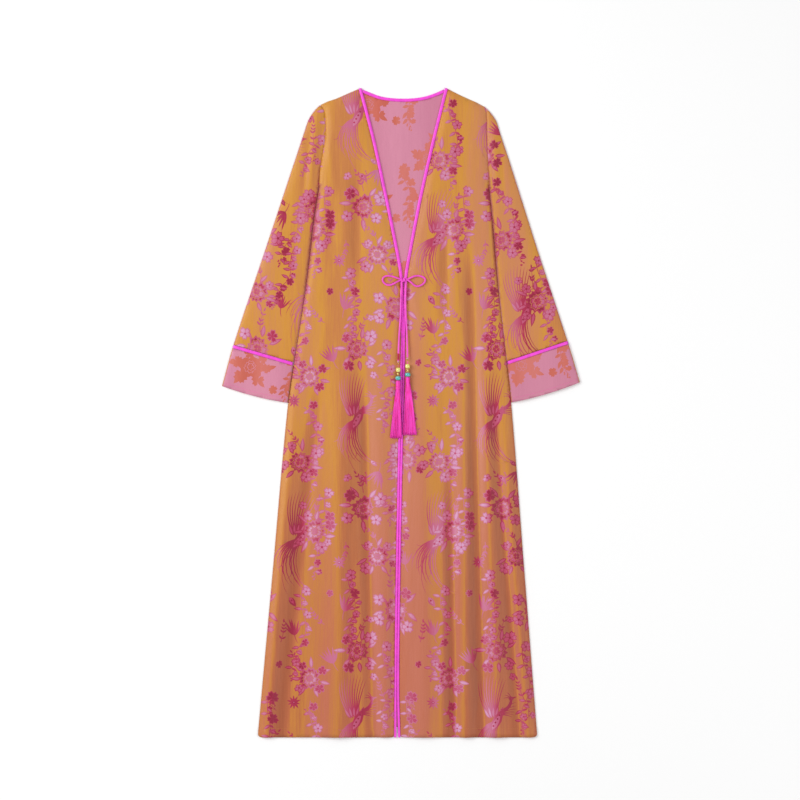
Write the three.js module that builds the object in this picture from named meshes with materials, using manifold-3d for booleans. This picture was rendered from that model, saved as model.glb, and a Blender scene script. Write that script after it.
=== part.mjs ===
// A brocade abaya laid flat on its back: open front tied with a bow, sleeves drawn down beside the body.
// Millimetres. +Z is up from the surface that it lies on, +Y runs to the neck, +X is the wearer's left.
// The origin is on that surface, in the middle of the laid garment. Left and right are the wearer's.
import * as THREE from "three";
import { mergeVertices } from "three/addons/utils/BufferGeometryUtils.js";
import Module from "manifold-3d";

const wasm = await Module();
wasm.setup();

const CLOTH = 1.2; // a wall of cloth
const SEAM = 0.3; // the gap at a seam, and between layers that lie on each other
const LAID = CLOTH + SEAM; // the underside of an upper layer where it lies on the lower one
const HEM_Y = -700; // the front hem
const LOFT = 3; // how far the front stands off the back between its edges and folds
const EDGE_FALL = 16; // the cloth comes down to its edges over this width
const HEM_FALL = 110; // and the loft, but not the folds, over this height at the hem
const HEM_DEPTH = 21;
const HEM_FOLD = 0.5; // the turned-up hem stands this much higher
const ARMHOLE_Y = 490; // underarm
const YOKE_Y = 600; // rows are level below this, and follow the shoulder above it
const ARMHOLE_ROWS = 6; // from the underarm to the yoke
const YOKE_ROWS = 4;

// Where the bound front edges lie: the middle of each binding.
const FRONT_EDGE = [
  { y: 700, right: -88.4, left: 98 },
  { y: 588, right: -59.3, left: 70.1 },
  { y: 459, right: -31.3, left: 41 },
  { y: 330, right: -5.4, left: 16.2 },
  { y: 297, right: -0.4, left: 10.8 },
  { y: 250, right: 2.6, left: 8.2 },
  { y: 90, right: 0.6, left: 5.9 },
  { y: -63, right: -3.6, left: 1.7 },
  { y: -425, right: -10.2, left: -4.8 },
  { y: -600, right: -11.8, left: -6.2 },
  { y: HEM_Y, right: -12.4, left: -3.6 },
];
const BINDING = { neck: 6.6, below: 4.8, height: 3.2, narrowFrom: 297, narrowTo: 250 };

// The side seam, and above the underarm the armhole seam.
const SIDE_SEAM = [
  { y: 664, right: -173, left: 180 },
  { y: 648, right: -165, left: 184.5 },
  { y: 600, right: -163, left: 185.5 },
  { y: 567, right: -167.5, left: 186.5 },
  { y: 524, right: -174.5, left: 188.5 },
  { y: 490, right: -176.8, left: 190 },
  { y: 414, right: -188.2, left: 197.2 },
  { y: 274, right: -204.8, left: 209.4 },
  { y: 170, right: -220.8, left: 221 },
  { y: 21, right: -243.4, left: 237.6 },
  { y: -340, right: -276.5, left: 265.8 },
  { y: HEM_Y, right: -309.2, left: 294 },
];

// The shoulder line, from the tip to the neck.
const SHOULDER = {
  right: [
    [-173, 664],
    [-157.5, 671.5],
    [-140, 677],
    [-123, 684.5],
    [-107, 691.6],
    [-92, 698],
  ],
  left: [
    [180, 659.5],
    [162, 669.5],
    [144.5, 677],
    [127.3, 685],
    [114, 691.6],
    [101.6, 698],
  ],
};

// The middle of the binding round the back of the neck.
const BACK_NECK = [
  [-79.6, 692.4],
  [-66.9, 687.2],
  [-45.3, 679.4],
  [-21.6, 675.5],
  [4.3, 674.2],
  [30.2, 675.3],
  [53.9, 679.2],
  [75.5, 686.4],
  [89.4, 692.6],
];
const BACK_HEM = { side: 8, middle: 22 }; // how much the back hem lies above the front hem

// The sleeve's folded outer edge, from the shoulder tip to the hand.
const ARM_EDGE = [
  { y: 664, right: -174, left: 176 },
  { y: 655, right: -183.4, left: 185.6 },
  { y: 644, right: -192.2, left: 195.6 },
  { y: 629, right: -200.6, left: 205.3 },
  { y: 603, right: -209.3, left: 213.6 },
  { y: 545, right: -228.6, left: 233 },
  { y: 348, right: -294, left: 295.6 },
  { y: 146, right: -361.5, left: 361.8 },
  { y: 57, right: -386, left: 388.2 },
];
const ARM_GAP = { top: 0.4, below: 2.4, over: 50 }; // between sleeve and body, under the arm
const SLEEVE_LOFT = 1.4;

// Where rings of the sleeve lie, from its edge beside the body to its outer edge.
const PIPED_SEAM = { right: [105.2, 142.9], left: [107.7, 151.5] };
const CUFF_EDGE = { right: [21.4, 57.6], left: [22, 65.6] };
const CUFF_BULGE = 4; // how far the cuff's edge hangs below a straight line
const CUFF_CLOTH = 1.6;
const PIPING = { width: 6.8, proud: 1.6, spread: 0.8 };

// Folds of the fronts, from end to end: half is the half-width, rise the height, and fade
// how far one takes to grow from its first end and to die away at its last one.
const BODY_FOLDS = [
  // Flutes of the right front, and the troughs between them.
  { from: [-46, 230], to: [-36, -760], half: 19, rise: 2.6, fade: [260, 1] },
  { from: [-84, 140], to: [-60, -760], half: 14, rise: -3.4, fade: [200, 1] },
  { from: [-122, 260], to: [-138, -760], half: 28, rise: 5.2, fade: [300, 1] },
  { from: [-172, 120], to: [-268, -760], half: 16, rise: -3.2, fade: [220, 1] },
  { from: [-226, 90], to: [-293, -760], half: 18, rise: 3.6, fade: [260, 1] },
  { from: [-99, 560], to: [-94, 240], half: 13, rise: -1.8, fade: [100, 120] },
  { from: [-126, 520], to: [-120, 240], half: 14, rise: 1.8, fade: [120, 160] },
  // Flutes of the left front, and the troughs between them.
  { from: [48, 190], to: [48, -760], half: 28, rise: 3.8, fade: [300, 1] },
  { from: [104, -20], to: [111, -760], half: 11, rise: -4, fade: [260, 1] },
  { from: [132, 180], to: [141, -760], half: 15, rise: 4.4, fade: [300, 1] },
  { from: [146, 430], to: [174, -760], half: 12, rise: -5.4, fade: [260, 1] },
  { from: [178, 240], to: [207, -760], half: 18, rise: 5, fade: [300, 1] },
  { from: [189, 130], to: [260, -760], half: 13, rise: -3.4, fade: [200, 1] },
  { from: [214, 60], to: [276, -760], half: 14, rise: 3.2, fade: [240, 1] },
  { from: [92, 440], to: [98, 170], half: 12, rise: -1.8, fade: [90, 90] },
  { from: [117, 430], to: [118, 140], half: 12, rise: 2.2, fade: [100, 110] },
];

// Folds of the sleeves and cuffs: drag at the sleeve's head, and its soft length.
const ARM_FOLDS = [
  { from: [-181, 655], to: [-202, 430], half: 8, rise: 2.1, fade: [50, 90] },
  { from: [-190, 640], to: [-218, 420], half: 6, rise: -1, fade: [40, 90] },
  { from: [-232, 480], to: [-312, 150], half: 20, rise: 1.2, fade: [120, 70] },
  { from: [199, 640], to: [208, 450], half: 8, rise: 2, fade: [50, 80] },
  { from: [212, 600], to: [224, 430], half: 6, rise: -1, fade: [40, 90] },
  { from: [246, 490], to: [306, 160], half: 20, rise: 1.2, fade: [120, 70] },
  { from: [226, 178], to: [262, 116], half: 7, rise: -1.1, fade: [20, 14] },
];

// Tie cords, tied in a bow at the foot of the neckline.
const CORD = 3.7; // diameter
const KNOT = { at: [6.4, 286.2, 8.6], half: [3.4, 4.4, 3.8] };
// Points of the cords, each with how far the cord is held off the cloth there.
const LOOPS = {
  right: [
    [-4, 288.6, 1.6],
    [-10, 290.6, 1.4],
    [-17, 293, 0.7],
    [-27.2, 294.8, 0],
    [-34.4, 293.6, 0],
    [-39, 289.8, 0],
    [-39.4, 284.2, 0],
    [-36, 279, 0],
    [-30, 275.4, 0],
    [-23.6, 275, 0.2],
    [-16, 277.8, 0.7],
    [-10, 281.2, 1.4],
    [-4, 284.2, 1.6],
  ],
  left: [
    [16.8, 288.6, 1.6],
    [22, 291.2, 1.4],
    [29, 294, 0.7],
    [38, 294.9, 0],
    [46, 292.8, 0],
    [51.4, 288.6, 0],
    [51.4, 282.4, 0],
    [46.4, 276.6, 0],
    [39, 272.9, 0],
    [32, 272.8, 0.2],
    [26.6, 276.2, 0.7],
    [21.6, 280.8, 1.4],
    [16.8, 284.2, 1.6],
  ],
};
const TAILS = {
  right: [
    [1.6, 280.6, 0.6],
    [0.4, 262, 0.1],
    [-0.4, 236, 0],
    [-1.4, 204, 0],
    [-3.6, 172, 1],
    [-5.2, 140, 3],
    [-5.9, 111.8, 4.6],
  ],
  left: [
    [11, 280.6, 0.6],
    [10, 262, 0.1],
    [9.6, 240, 0],
    [10.6, 208, 0],
    [12.2, 176, 1],
    [13.4, 146, 3],
    [13.9, 119.3, 4.6],
  ],
};
const THREAD = 1; // what is left of the cord inside the beads
const BORE = 1.6;
// What is strung on the thread: how far its middle lies below the cord's end, and its size.
const STRUNG = [
  { name: "seed_bead_upper", below: 2.1, diameter: 4, length: 3.6, sides: 8, colour: 0xe9b8c4 },
  { name: "seed_bead_lower", below: 6.3, diameter: 4, length: 3.4, sides: 8, colour: 0xc9973f },
  { name: "bead_yellow", below: 19.4, diameter: 10.4, length: 9.4, sides: 10, colour: 0xe3dc5a },
  { name: "spacer_bead", below: 28.6, diameter: 6.2, length: 6.6, sides: 8, colour: 0xb99a56 },
  { name: "bead_turquoise", below: 37.3, diameter: 12, length: 8.2, sides: 10, colour: 0x52bdb8 },
];
const TASSEL_BELOW = 42.4; // how far its head starts below the cord's end
const TASSELS = {
  right: { lean: -0.4, head: 19, end: [-11.2, -53.4], halfWidth: 12.8 },
  left: { lean: 0.6, head: 12, end: [18.9, -46.4], halfWidth: 15.2 },
};
const TASSEL_HEAD = 9.4;
const STRANDS = { across: 11, layers: 3, root: 0.44, end: 1.5, steps: 4 };

const SIDES = ["right", "left"];
const inwards = { right: 1, left: -1 }; // the way from the side seam to the front edge, along X

const lerp = (a, b, t) => a + (b - a) * t;
const lerpPoint = (p, q, t) => p.map((value, i) => lerp(value, q[i], t));
const clamp01 = (t) => Math.min(Math.max(t, 0), 1);
const smooth = (t) => clamp01(t) ** 2 * (3 - 2 * clamp01(t));
const steps = (n) => Array.from({ length: n + 1 }, (_, i) => i / n);
const distance = (p, q) => Math.hypot(q[0] - p[0], q[1] - p[1]);

// The value of a column at y, on a smooth curve through the rows of a table whose y falls.
function at(table, column, y) {
  const found = table.findIndex((row) => row.y <= y);
  const i = found < 0 ? table.length - 1 : Math.max(found, 1);
  const [a, b] = [table[i - 1], table[i]];
  const before = table[Math.max(i - 2, 0)];
  const after = table[Math.min(i + 1, table.length - 1)];
  const span = b.y - a.y;
  const t = clamp01((y - a.y) / span);
  const startSlope = ((b[column] - before[column]) / (b.y - before.y)) * span;
  const endSlope = ((after[column] - a[column]) / (after.y - a.y)) * span;
  const [t2, t3] = [t * t, t * t * t];
  return (
    (2 * t3 - 3 * t2 + 1) * a[column] +
    (t3 - 2 * t2 + t) * startSlope +
    (3 * t2 - 2 * t3) * b[column] +
    (t3 - t2) * endSlope
  );
}

// A line of points moved sideways, to the right of the way that it runs.
function beside(points, off) {
  return points.map(([x, y], i) => {
    const [before, after] = [points[Math.max(i - 1, 0)], points[Math.min(i + 1, points.length - 1)]];
    const length = distance(before, after);
    return [x + ((after[1] - before[1]) / length) * off, y - ((after[0] - before[0]) / length) * off];
  });
}

// The y of a line of points at x.
function heightAt(points, x) {
  const sorted = [...points].sort((p, q) => p[0] - q[0]);
  const found = sorted.findIndex((p) => p[0] >= x);
  const i = found < 0 ? sorted.length - 1 : Math.max(found, 1);
  const [p, q] = [sorted[i - 1], sorted[i]];
  return lerp(p[1], q[1], clamp01((x - p[0]) / (q[0] - p[0])));
}

const bindingWidth = (y) => {
  const { neck, below, narrowFrom, narrowTo } = BINDING;
  return lerp(below, neck, smooth((y - narrowTo) / (narrowFrom - narrowTo)));
};
const bodySide = (side, y) => at(SIDE_SEAM, side, y);
const frontEdge = (side, y) => at(FRONT_EDGE, side, y) - inwards[side] * (bindingWidth(y) / 2 + SEAM);
const armGap = (y) => lerp(ARM_GAP.top, ARM_GAP.below, smooth((ARMHOLE_Y - y) / ARM_GAP.over));

// Where the rows of a body panel lie along the armhole, from the underarm to the shoulder tip.
const armholeLevels = (side) => [
  ...steps(ARMHOLE_ROWS).map((t) => lerp(ARMHOLE_Y, YOKE_Y, t)),
  ...steps(YOKE_ROWS).slice(1).map((t) => lerp(YOKE_Y, SHOULDER[side][0][1], t)),
];

// The edge of a sleeve beside the body: it follows the panels' own rows up the armhole.
function armInner(side, y) {
  const body = y < ARMHOLE_Y ? bodySide(side, y) : heightAt(armholeLevels(side).map((level) => [level, bodySide(side, level)]), y);
  return body - inwards[side] * armGap(y);
}

// How much one fold lifts the cloth at a point.
function foldAt({ from, to, half, rise, fade }, x, y) {
  const [dx, dy] = [to[0] - from[0], to[1] - from[1]];
  const length = Math.hypot(dx, dy);
  const run = ((x - from[0]) * dx + (y - from[1]) * dy) / length;
  const off = ((x - from[0]) * dy - (y - from[1]) * dx) / length;
  if (run < 0 || run > length) return 0;
  return rise * Math.exp(-((off / half) ** 2)) * smooth(run / fade[0]) * smooth((length - run) / fade[1]);
}

// How far an upper layer stands off the lower one, never less than nothing.
function lift(folds, loft, x, y) {
  const raised = folds.reduce((sum, fold) => sum + foldAt(fold, x, y), loft);
  return 0.5 * (raised + Math.sqrt(raised * raised + 1));
}

// How far a front panel stands off the back: not at all at its side, front and shoulder edges.
function frontLift(side, x, y) {
  const toSide = Math.hypot(x - bodySide(side, Math.min(y, ARMHOLE_Y)), Math.max(y - ARMHOLE_Y, 0));
  const toArmhole = y < ARMHOLE_Y ? EDGE_FALL : Math.abs(x - bodySide(side, y));
  const toFront = Math.abs(x - frontEdge(side, y));
  const toShoulder = y < YOKE_Y ? EDGE_FALL : heightAt(SHOULDER[side], x) - y;
  const edge = [toSide, toArmhole, toFront, toShoulder].reduce((fall, d) => fall * smooth(d / EDGE_FALL), 1);
  return edge * lift(BODY_FOLDS, LOFT * smooth((y - HEM_Y) / HEM_FALL), x, y);
}

// The top of what lies under the cords: the front panels and the bindings on their edges.
function groundTop(x, y) {
  const middle = (at(FRONT_EDGE, "right", y) + at(FRONT_EDGE, "left", y)) / 2;
  const side = x < middle ? "right" : "left";
  const cloth = LAID + frontLift(side, x, y) + CLOTH;
  const reach = Math.abs(x - at(FRONT_EDGE, side, y)) - bindingWidth(y) / 2;
  return Math.max(cloth, (LAID + BINDING.height) * smooth((4 - reach) / 3));
}

const quad = (a, b, c, d) => [
  [a, b, c],
  [a, c, d],
];

// A closed geometry from triangles of points, turned so that its faces point out.
function closed(triangles) {
  let volume = 0;
  for (const [p, q, r] of triangles) {
    volume +=
      p[0] * (q[1] * r[2] - q[2] * r[1]) +
      p[1] * (q[2] * r[0] - q[0] * r[2]) +
      p[2] * (q[0] * r[1] - q[1] * r[0]);
  }
  const turned = volume < 0 ? triangles.map(([p, q, r]) => [p, r, q]) : triangles;
  const geometry = new THREE.BufferGeometry();
  geometry.setAttribute("position", new THREE.Float32BufferAttribute(turned.flat(2), 3));
  return mergeVertices(geometry, 1e-4);
}

// A wall between two grids of points, one above the other.
function wall(lower, upper) {
  const [rows, columns] = [upper.length - 1, upper[0].length - 1];
  const triangles = [];
  const add = (a, b, c, d) => triangles.push(...quad(a, b, c, d));
  for (let r = 0; r < rows; r++) {
    for (let c = 0; c < columns; c++) {
      add(upper[r][c], upper[r][c + 1], upper[r + 1][c + 1], upper[r + 1][c]);
      add(lower[r][c], lower[r + 1][c], lower[r + 1][c + 1], lower[r][c + 1]);
    }
    add(lower[r][0], upper[r][0], upper[r + 1][0], lower[r + 1][0]);
    add(lower[r][columns], lower[r + 1][columns], upper[r + 1][columns], upper[r][columns]);
  }
  for (let c = 0; c < columns; c++) {
    add(lower[0][c], lower[0][c + 1], upper[0][c + 1], upper[0][c]);
    add(lower[rows][c], upper[rows][c], upper[rows][c + 1], lower[rows][c + 1]);
  }
  return closed(triangles);
}

// A solid through rings that each bulge outwards, with flat ends; or, with no ends, a closed band.
function solidThrough(rings, ends = true) {
  const size = rings[0].length;
  const triangles = [];
  for (let r = 0; r < rings.length - (ends ? 1 : 0); r++) {
    const [here, next] = [rings[r], rings[(r + 1) % rings.length]];
    for (let i = 0; i < size; i++) {
      const j = (i + 1) % size;
      triangles.push(...quad(here[i], here[j], next[j], next[i]));
    }
  }
  if (ends) {
    const [first, last] = [rings[0], rings.at(-1)];
    for (let i = 1; i + 1 < size; i++) {
      triangles.push([first[0], first[i + 1], first[i]], [last[0], last[i], last[i + 1]]);
    }
  }
  return closed(triangles);
}

// A tube of cloth through rows. A row has an outer and an inner ring of points, and its last
// point closes it; a row at the sleeve's head is open instead, and lacks that point.
function clothTube(rows) {
  const triangles = [];
  const add = (a, b, c, d) => triangles.push(...quad(a, b, c, d));
  const edges = (row, from) => {
    const size = row.outer.length;
    const all = row.outer.map((_, i) => [i, (i + 1) % size]);
    return all.slice(from, row.open ? size - 1 : size);
  };
  for (let r = 0; r + 1 < rows.length; r++) {
    const [a, b] = [rows[r], rows[r + 1]];
    for (const [i, j] of edges(a, 0)) {
      add(a.outer[i], a.outer[j], b.outer[j], b.outer[i]);
      add(a.inner[i], b.inner[i], b.inner[j], a.inner[j]);
    }
    if (a.open) {
      const k = a.outer.length - 1;
      add(a.outer[0], b.outer[0], b.inner[0], a.inner[0]);
      add(b.outer[k], a.outer[k], a.inner[k], b.inner[k]);
      if (!b.open) for (const [i, j] of edges(b, k)) add(b.outer[j], b.outer[i], b.inner[i], b.inner[j]);
    }
  }
  const [first, last] = [rows[0], rows.at(-1)];
  for (const [i, j] of edges(first, 0)) add(first.outer[j], first.outer[i], first.inner[i], first.inner[j]);
  for (const [i, j] of edges(last, 0)) add(last.outer[i], last.outer[j], last.inner[j], last.inner[i]);
  return closed(triangles);
}

const ARM_COLUMNS = 7;

// A row of a sleeve or cuff, across the arm from beside the body to the outer edge and back.
function armRow(side, [yInner, yOuter], { cloth = CLOTH, proud = 0, spread = 0, bulge = 0, open = false }) {
  const out = inwards[side];
  const from = [armInner(side, yInner) + (open ? 0 : out * spread), yInner];
  const to = [at(ARM_EDGE, side, yOuter) - out * spread, yOuter];
  const width = distance(from, to);
  const place = (u) => {
    const [x, y] = lerpPoint(from, to, u);
    return [x, y - 4 * bulge * u * (1 - u)];
  };
  const stand = (u) => {
    const [x, y] = place(u);
    const edge = smooth((u * width) / EDGE_FALL) * smooth(((1 - u) * width) / EDGE_FALL);
    return SEAM + edge * lift(ARM_FOLDS, SLEEVE_LOFT, x, y);
  };
  const ring = (inset, bottom, top) => {
    const side0 = open ? 0 : (inset + 0.45) / width;
    const side1 = (inset + 0.45) / width;
    const us = steps(ARM_COLUMNS).map((t) => lerp(Math.min(side0, 0.2), 1 - Math.min(side1, 0.2), t));
    const upper = us.map((u) => [...place(u), top(u)]);
    const lower = [...us].reverse().map((u) => [...place(u), bottom]);
    const edge = Math.min(inset / width, 0.15);
    const middle = (bottom + top(1)) / 2;
    const points = [...upper, [...place(1 - edge), middle], ...lower];
    return open ? points : [...points, [...place(edge), middle]];
  };
  const outer = ring(0, 0, (u) => 2 * cloth + stand(u) + proud);
  const inner = ring(cloth, cloth, (u) => cloth + stand(u));
  return { outer, inner, open };
}

function sleeve(side) {
  const tip = SHOULDER[side][0][1];
  const [seamInner, seamOuter] = PIPED_SEAM[side].map((y) => y + PIPING.width / 2 + SEAM);
  const head = [...armholeLevels(side).slice(1, -1), tip - 11, tip - 6, tip - 1.6];
  const rows = [
    ...head.toReversed().map((y) => armRow(side, [y, y], { open: true })),
    ...steps(10).map((t) =>
      armRow(side, [lerp(ARMHOLE_Y, seamInner, t), lerp(ARMHOLE_Y, seamOuter, t)], {}),
    ),
  ];
  return clothTube(rows);
}

function cuff(side) {
  const start = PIPED_SEAM[side].map((y) => y - PIPING.width / 2 - SEAM);
  const end = CUFF_EDGE[side];
  return clothTube(
    steps(5).map((t) => armRow(side, lerpPoint(start, end, t), { cloth: CUFF_CLOTH, bulge: CUFF_BULGE * t })),
  );
}

function cuffPiping(side) {
  const half = PIPING.width / 2;
  const profile = [
    [half, 0.5],
    [half * 0.55, 1],
    [-half * 0.55, 1],
    [-half, 0.5],
  ];
  return clothTube(
    profile.map(([up, share]) =>
      armRow(
        side,
        PIPED_SEAM[side].map((y) => y + up),
        { proud: PIPING.proud * share, spread: PIPING.spread * share },
      ),
    ),
  );
}

// Rows of a body panel below the yoke, with two at the top of its turned-up hem.
function bodyRows(count) {
  const skirt = steps(count).map((t) => lerp(HEM_Y, ARMHOLE_Y, t));
  const armhole = steps(ARMHOLE_ROWS).map((t) => lerp(ARMHOLE_Y, YOKE_Y, t));
  return [HEM_Y, HEM_Y + HEM_DEPTH, HEM_Y + HEM_DEPTH + 1.5, ...skirt.slice(1), ...armhole.slice(1)];
}

// The plan of a body panel whose top edge is a line of points; edges gives its two sides at y.
function bodyPlan(top, shares, edges, rows, hem) {
  const [first, last] = [top[0], top.at(-1)];
  const flat = bodyRows(rows).map((level) =>
    shares.map((u) => {
      const y = level + hem(u) * clamp01((ARMHOLE_Y - level) / (ARMHOLE_Y - HEM_Y));
      return [lerp(...edges(y, y), u), y];
    }),
  );
  const yoke = steps(YOKE_ROWS).slice(1).map((v) =>
    shares.map((u) => {
      const x = lerp(...edges(lerp(YOKE_Y, first[1], v), lerp(YOKE_Y, last[1], v)), u);
      return [x, lerp(YOKE_Y, heightAt(top, lerp(first[0], last[0], u)), v)];
    }),
  );
  return [...flat, ...yoke];
}

function frontPanel(side) {
  const edges = (ySide, yFront) => [bodySide(side, ySide), frontEdge(side, yFront)];
  const plan = bodyPlan(SHOULDER[side], steps(21), edges, 14, () => 0);
  const lower = plan.map((row) => row.map(([x, y]) => [x, y, LAID + frontLift(side, x, y)]));
  const hemmed = (y) => (y < HEM_Y + HEM_DEPTH + 1 ? HEM_FOLD : 0);
  return wall(
    lower,
    lower.map((row) => row.map(([x, y, z]) => [x, y, z + CLOTH + hemmed(y)])),
  );
}

function backPanel() {
  const neckline = beside(BACK_NECK, BINDING.neck / 2 + SEAM + 0.05);
  const top = [...SHOULDER.right, ...neckline, ...SHOULDER.left.toReversed()];
  const [first, last] = [top[0][0], top.at(-1)[0]];
  const shares = top.map(([x]) => (x - first) / (last - first));
  const edges = (yRight, yLeft) => [bodySide("right", yRight), bodySide("left", yLeft)];
  const hem = (u) => lerp(BACK_HEM.middle, BACK_HEM.side, (2 * u - 1) ** 2);
  const plan = bodyPlan(top, shares, edges, 7, hem);
  const level = (z) => plan.map((row) => row.map(([x, y]) => [x, y, z]));
  return wall(level(0), level(CLOTH));
}

// A strip with a rounded top, along a line of points that give its middle, its width and its base.
function strip(line, height) {
  const profile = [
    [-0.5, 0],
    [0.5, 0],
    [0.5, 0.6],
    [0.22, 1],
    [-0.22, 1],
    [-0.5, 0.6],
  ];
  const rings = line.map(({ x, y, width, z }, i) => {
    const [before, after] = [line[Math.max(i - 1, 0)], line[Math.min(i + 1, line.length - 1)]];
    const [dx, dy] = [after.x - before.x, after.y - before.y];
    const length = Math.hypot(dx, dy);
    return profile.map(([off, up]) => [
      x + (-dy / length) * off * width,
      y + (dx / length) * off * width,
      z + up * height,
    ]);
  });
  return solidThrough(rings);
}

function frontBinding(side) {
  const ys = [699.4, ...steps(14).map((t) => lerp(680, 297, t)), 280, 265, 250, ...steps(17).slice(1).map((t) => lerp(250, HEM_Y, t))];
  return strip(
    ys.map((y) => ({ x: at(FRONT_EDGE, side, y), y, width: bindingWidth(y), z: LAID })),
    BINDING.height,
  );
}

const neckBinding = () =>
  strip(
    BACK_NECK.map(([x, y]) => ({ x, y, width: BINDING.neck, z: 0 })),
    BINDING.height,
  );

// Rings of the given radii round a line of points that never climbs straight up.
function ringsAlong(points, radii, sides, flatten = 1) {
  return points.map((point, i) => {
    const [before, after] = [points[Math.max(i - 1, 0)], points[Math.min(i + 1, points.length - 1)]];
    const way = new THREE.Vector3(...after).sub(new THREE.Vector3(...before)).normalize();
    const across = new THREE.Vector3().crossVectors(way, new THREE.Vector3(0, 0, 1)).normalize();
    const up = new THREE.Vector3().crossVectors(across, way);
    return Array.from({ length: sides }, (_, k) => {
      const angle = (2 * Math.PI * (k + 0.5)) / sides;
      return new THREE.Vector3(...point)
        .addScaledVector(across, Math.cos(angle) * radii[i])
        .addScaledVector(up, Math.sin(angle) * radii[i] * flatten)
        .toArray();
    });
  });
}

// Points at even steps on a smooth curve through the given ones.
function curve(points, count) {
  const spline = new THREE.CatmullRomCurve3(points.map((p) => new THREE.Vector3(...p)));
  return steps(count).map((t) => spline.getPointAt(t).toArray());
}

// The middle of a cord that lies on the cloth, or is held some way off it.
function laid([x, y, off]) {
  const around = [[0, 0], [-1.8, 0], [1.8, 0], [0, -1.8], [0, 1.8]];
  const top = Math.max(...around.map(([dx, dy]) => groundTop(x + dx, y + dy)));
  return [x, y, top + SEAM + 0.1 + CORD / 2 + off];
}
const LOOP_RINGS = 22;
const TAIL_RINGS = 16;
const loopPath = (side) => LOOPS[side].map(laid);
const tailPath = (side) => TAILS[side].map(laid);

function loop(side) {
  const path = curve(loopPath(side), LOOP_RINGS);
  return solidThrough(ringsAlong(path, path.map(() => CORD / 2), 8));
}

// A point on the straight string below the end of a tail.
function stringPoint(side, below) {
  const end = tailPath(side).at(-1);
  return [end[0] + TASSELS[side].lean * (below / TASSEL_BELOW), end[1] - below, end[2]];
}

// A tail: the cord, and the thread that goes on from its end through the beads.
function tail(side) {
  const cord = curve(tailPath(side), TAIL_RINGS);
  const thread = [0, TASSEL_BELOW - 0.4].map((below) => stringPoint(side, below));
  const rings = [
    ...ringsAlong(cord, cord.map(() => CORD / 2), 8),
    ...ringsAlong(thread, [THREAD / 2, THREAD / 2], 8),
  ];
  return solidThrough(rings);
}

function bead(side, { below, diameter, length, sides }) {
  const outline = diameter > 5 ? [0.62, 0.9, 1, 0.9, 0.62] : [0.72, 1, 0.72];
  const levels = outline.map((_, i) => (2 * i) / (outline.length - 1) - 1);
  const along = [-0.5, ...levels.map((level) => (level * 0.92) / 2), 0.5];
  const radii = [BORE / 2, ...outline.map((share) => (share * diameter) / 2), BORE / 2];
  const points = along.map((share) => stringPoint(side, below + share * length));
  return solidThrough(ringsAlong(points, radii, sides), false);
}

const toManifold = (geometry) =>
  new wasm.Manifold(
    new wasm.Mesh({
      numProp: 3,
      vertProperties: new Float32Array(geometry.getAttribute("position").array),
      triVerts: new Uint32Array(geometry.getIndex().array),
    }),
  );

function joined(geometries) {
  const { vertProperties, triVerts } = wasm.Manifold.union(geometries.map(toManifold)).getMesh();
  const geometry = new THREE.BufferGeometry();
  geometry.setAttribute("position", new THREE.BufferAttribute(vertProperties, 3));
  geometry.setIndex(new THREE.BufferAttribute(triVerts, 1));
  return geometry;
}

// The knot: a wrap round the middle, with a stub of cord for each loop end and each tail.
function knot() {
  const [x, y, z] = KNOT.at;
  const [halfX, halfY, halfZ] = KNOT.half;
  const wrap = [-1, -0.8, -0.45, 0, 0.45, 0.8, 1].map((t) => {
    const share = Math.sqrt(1 - (t * 0.94) ** 2);
    return Array.from({ length: 8 }, (_, k) => {
      const angle = (2 * Math.PI * k) / 8;
      return [x + t * halfX, y + Math.cos(angle) * halfY * share, z + Math.sin(angle) * halfZ * share];
    });
  });
  // From inside the knot to just short of a cord's end, and square to it.
  const stub = (start, end, next) => {
    const way = new THREE.Vector3(...end).sub(new THREE.Vector3(...next)).normalize();
    const path = [start, ...[2.2 + SEAM, SEAM].map((off) => new THREE.Vector3(...end).addScaledVector(way, off).toArray())];
    return solidThrough(ringsAlong(path, path.map(() => CORD / 2), 6));
  };
  const stubs = SIDES.flatMap((side) => {
    const [loop, cord] = [curve(loopPath(side), LOOP_RINGS), curve(tailPath(side), TAIL_RINGS)];
    const inside = (end, off) => [x, end[1] + off, z];
    return [
      stub(inside(loop[0], -0.8), loop[0], loop[1]),
      stub(inside(loop.at(-1), 0.8), loop.at(-1), loop.at(-2)),
      stub([lerp(x, cord[0][0], 0.8), y, z], cord[0], cord[1]),
    ];
  });
  return joined([solidThrough(wrap), ...stubs]);
}

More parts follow.
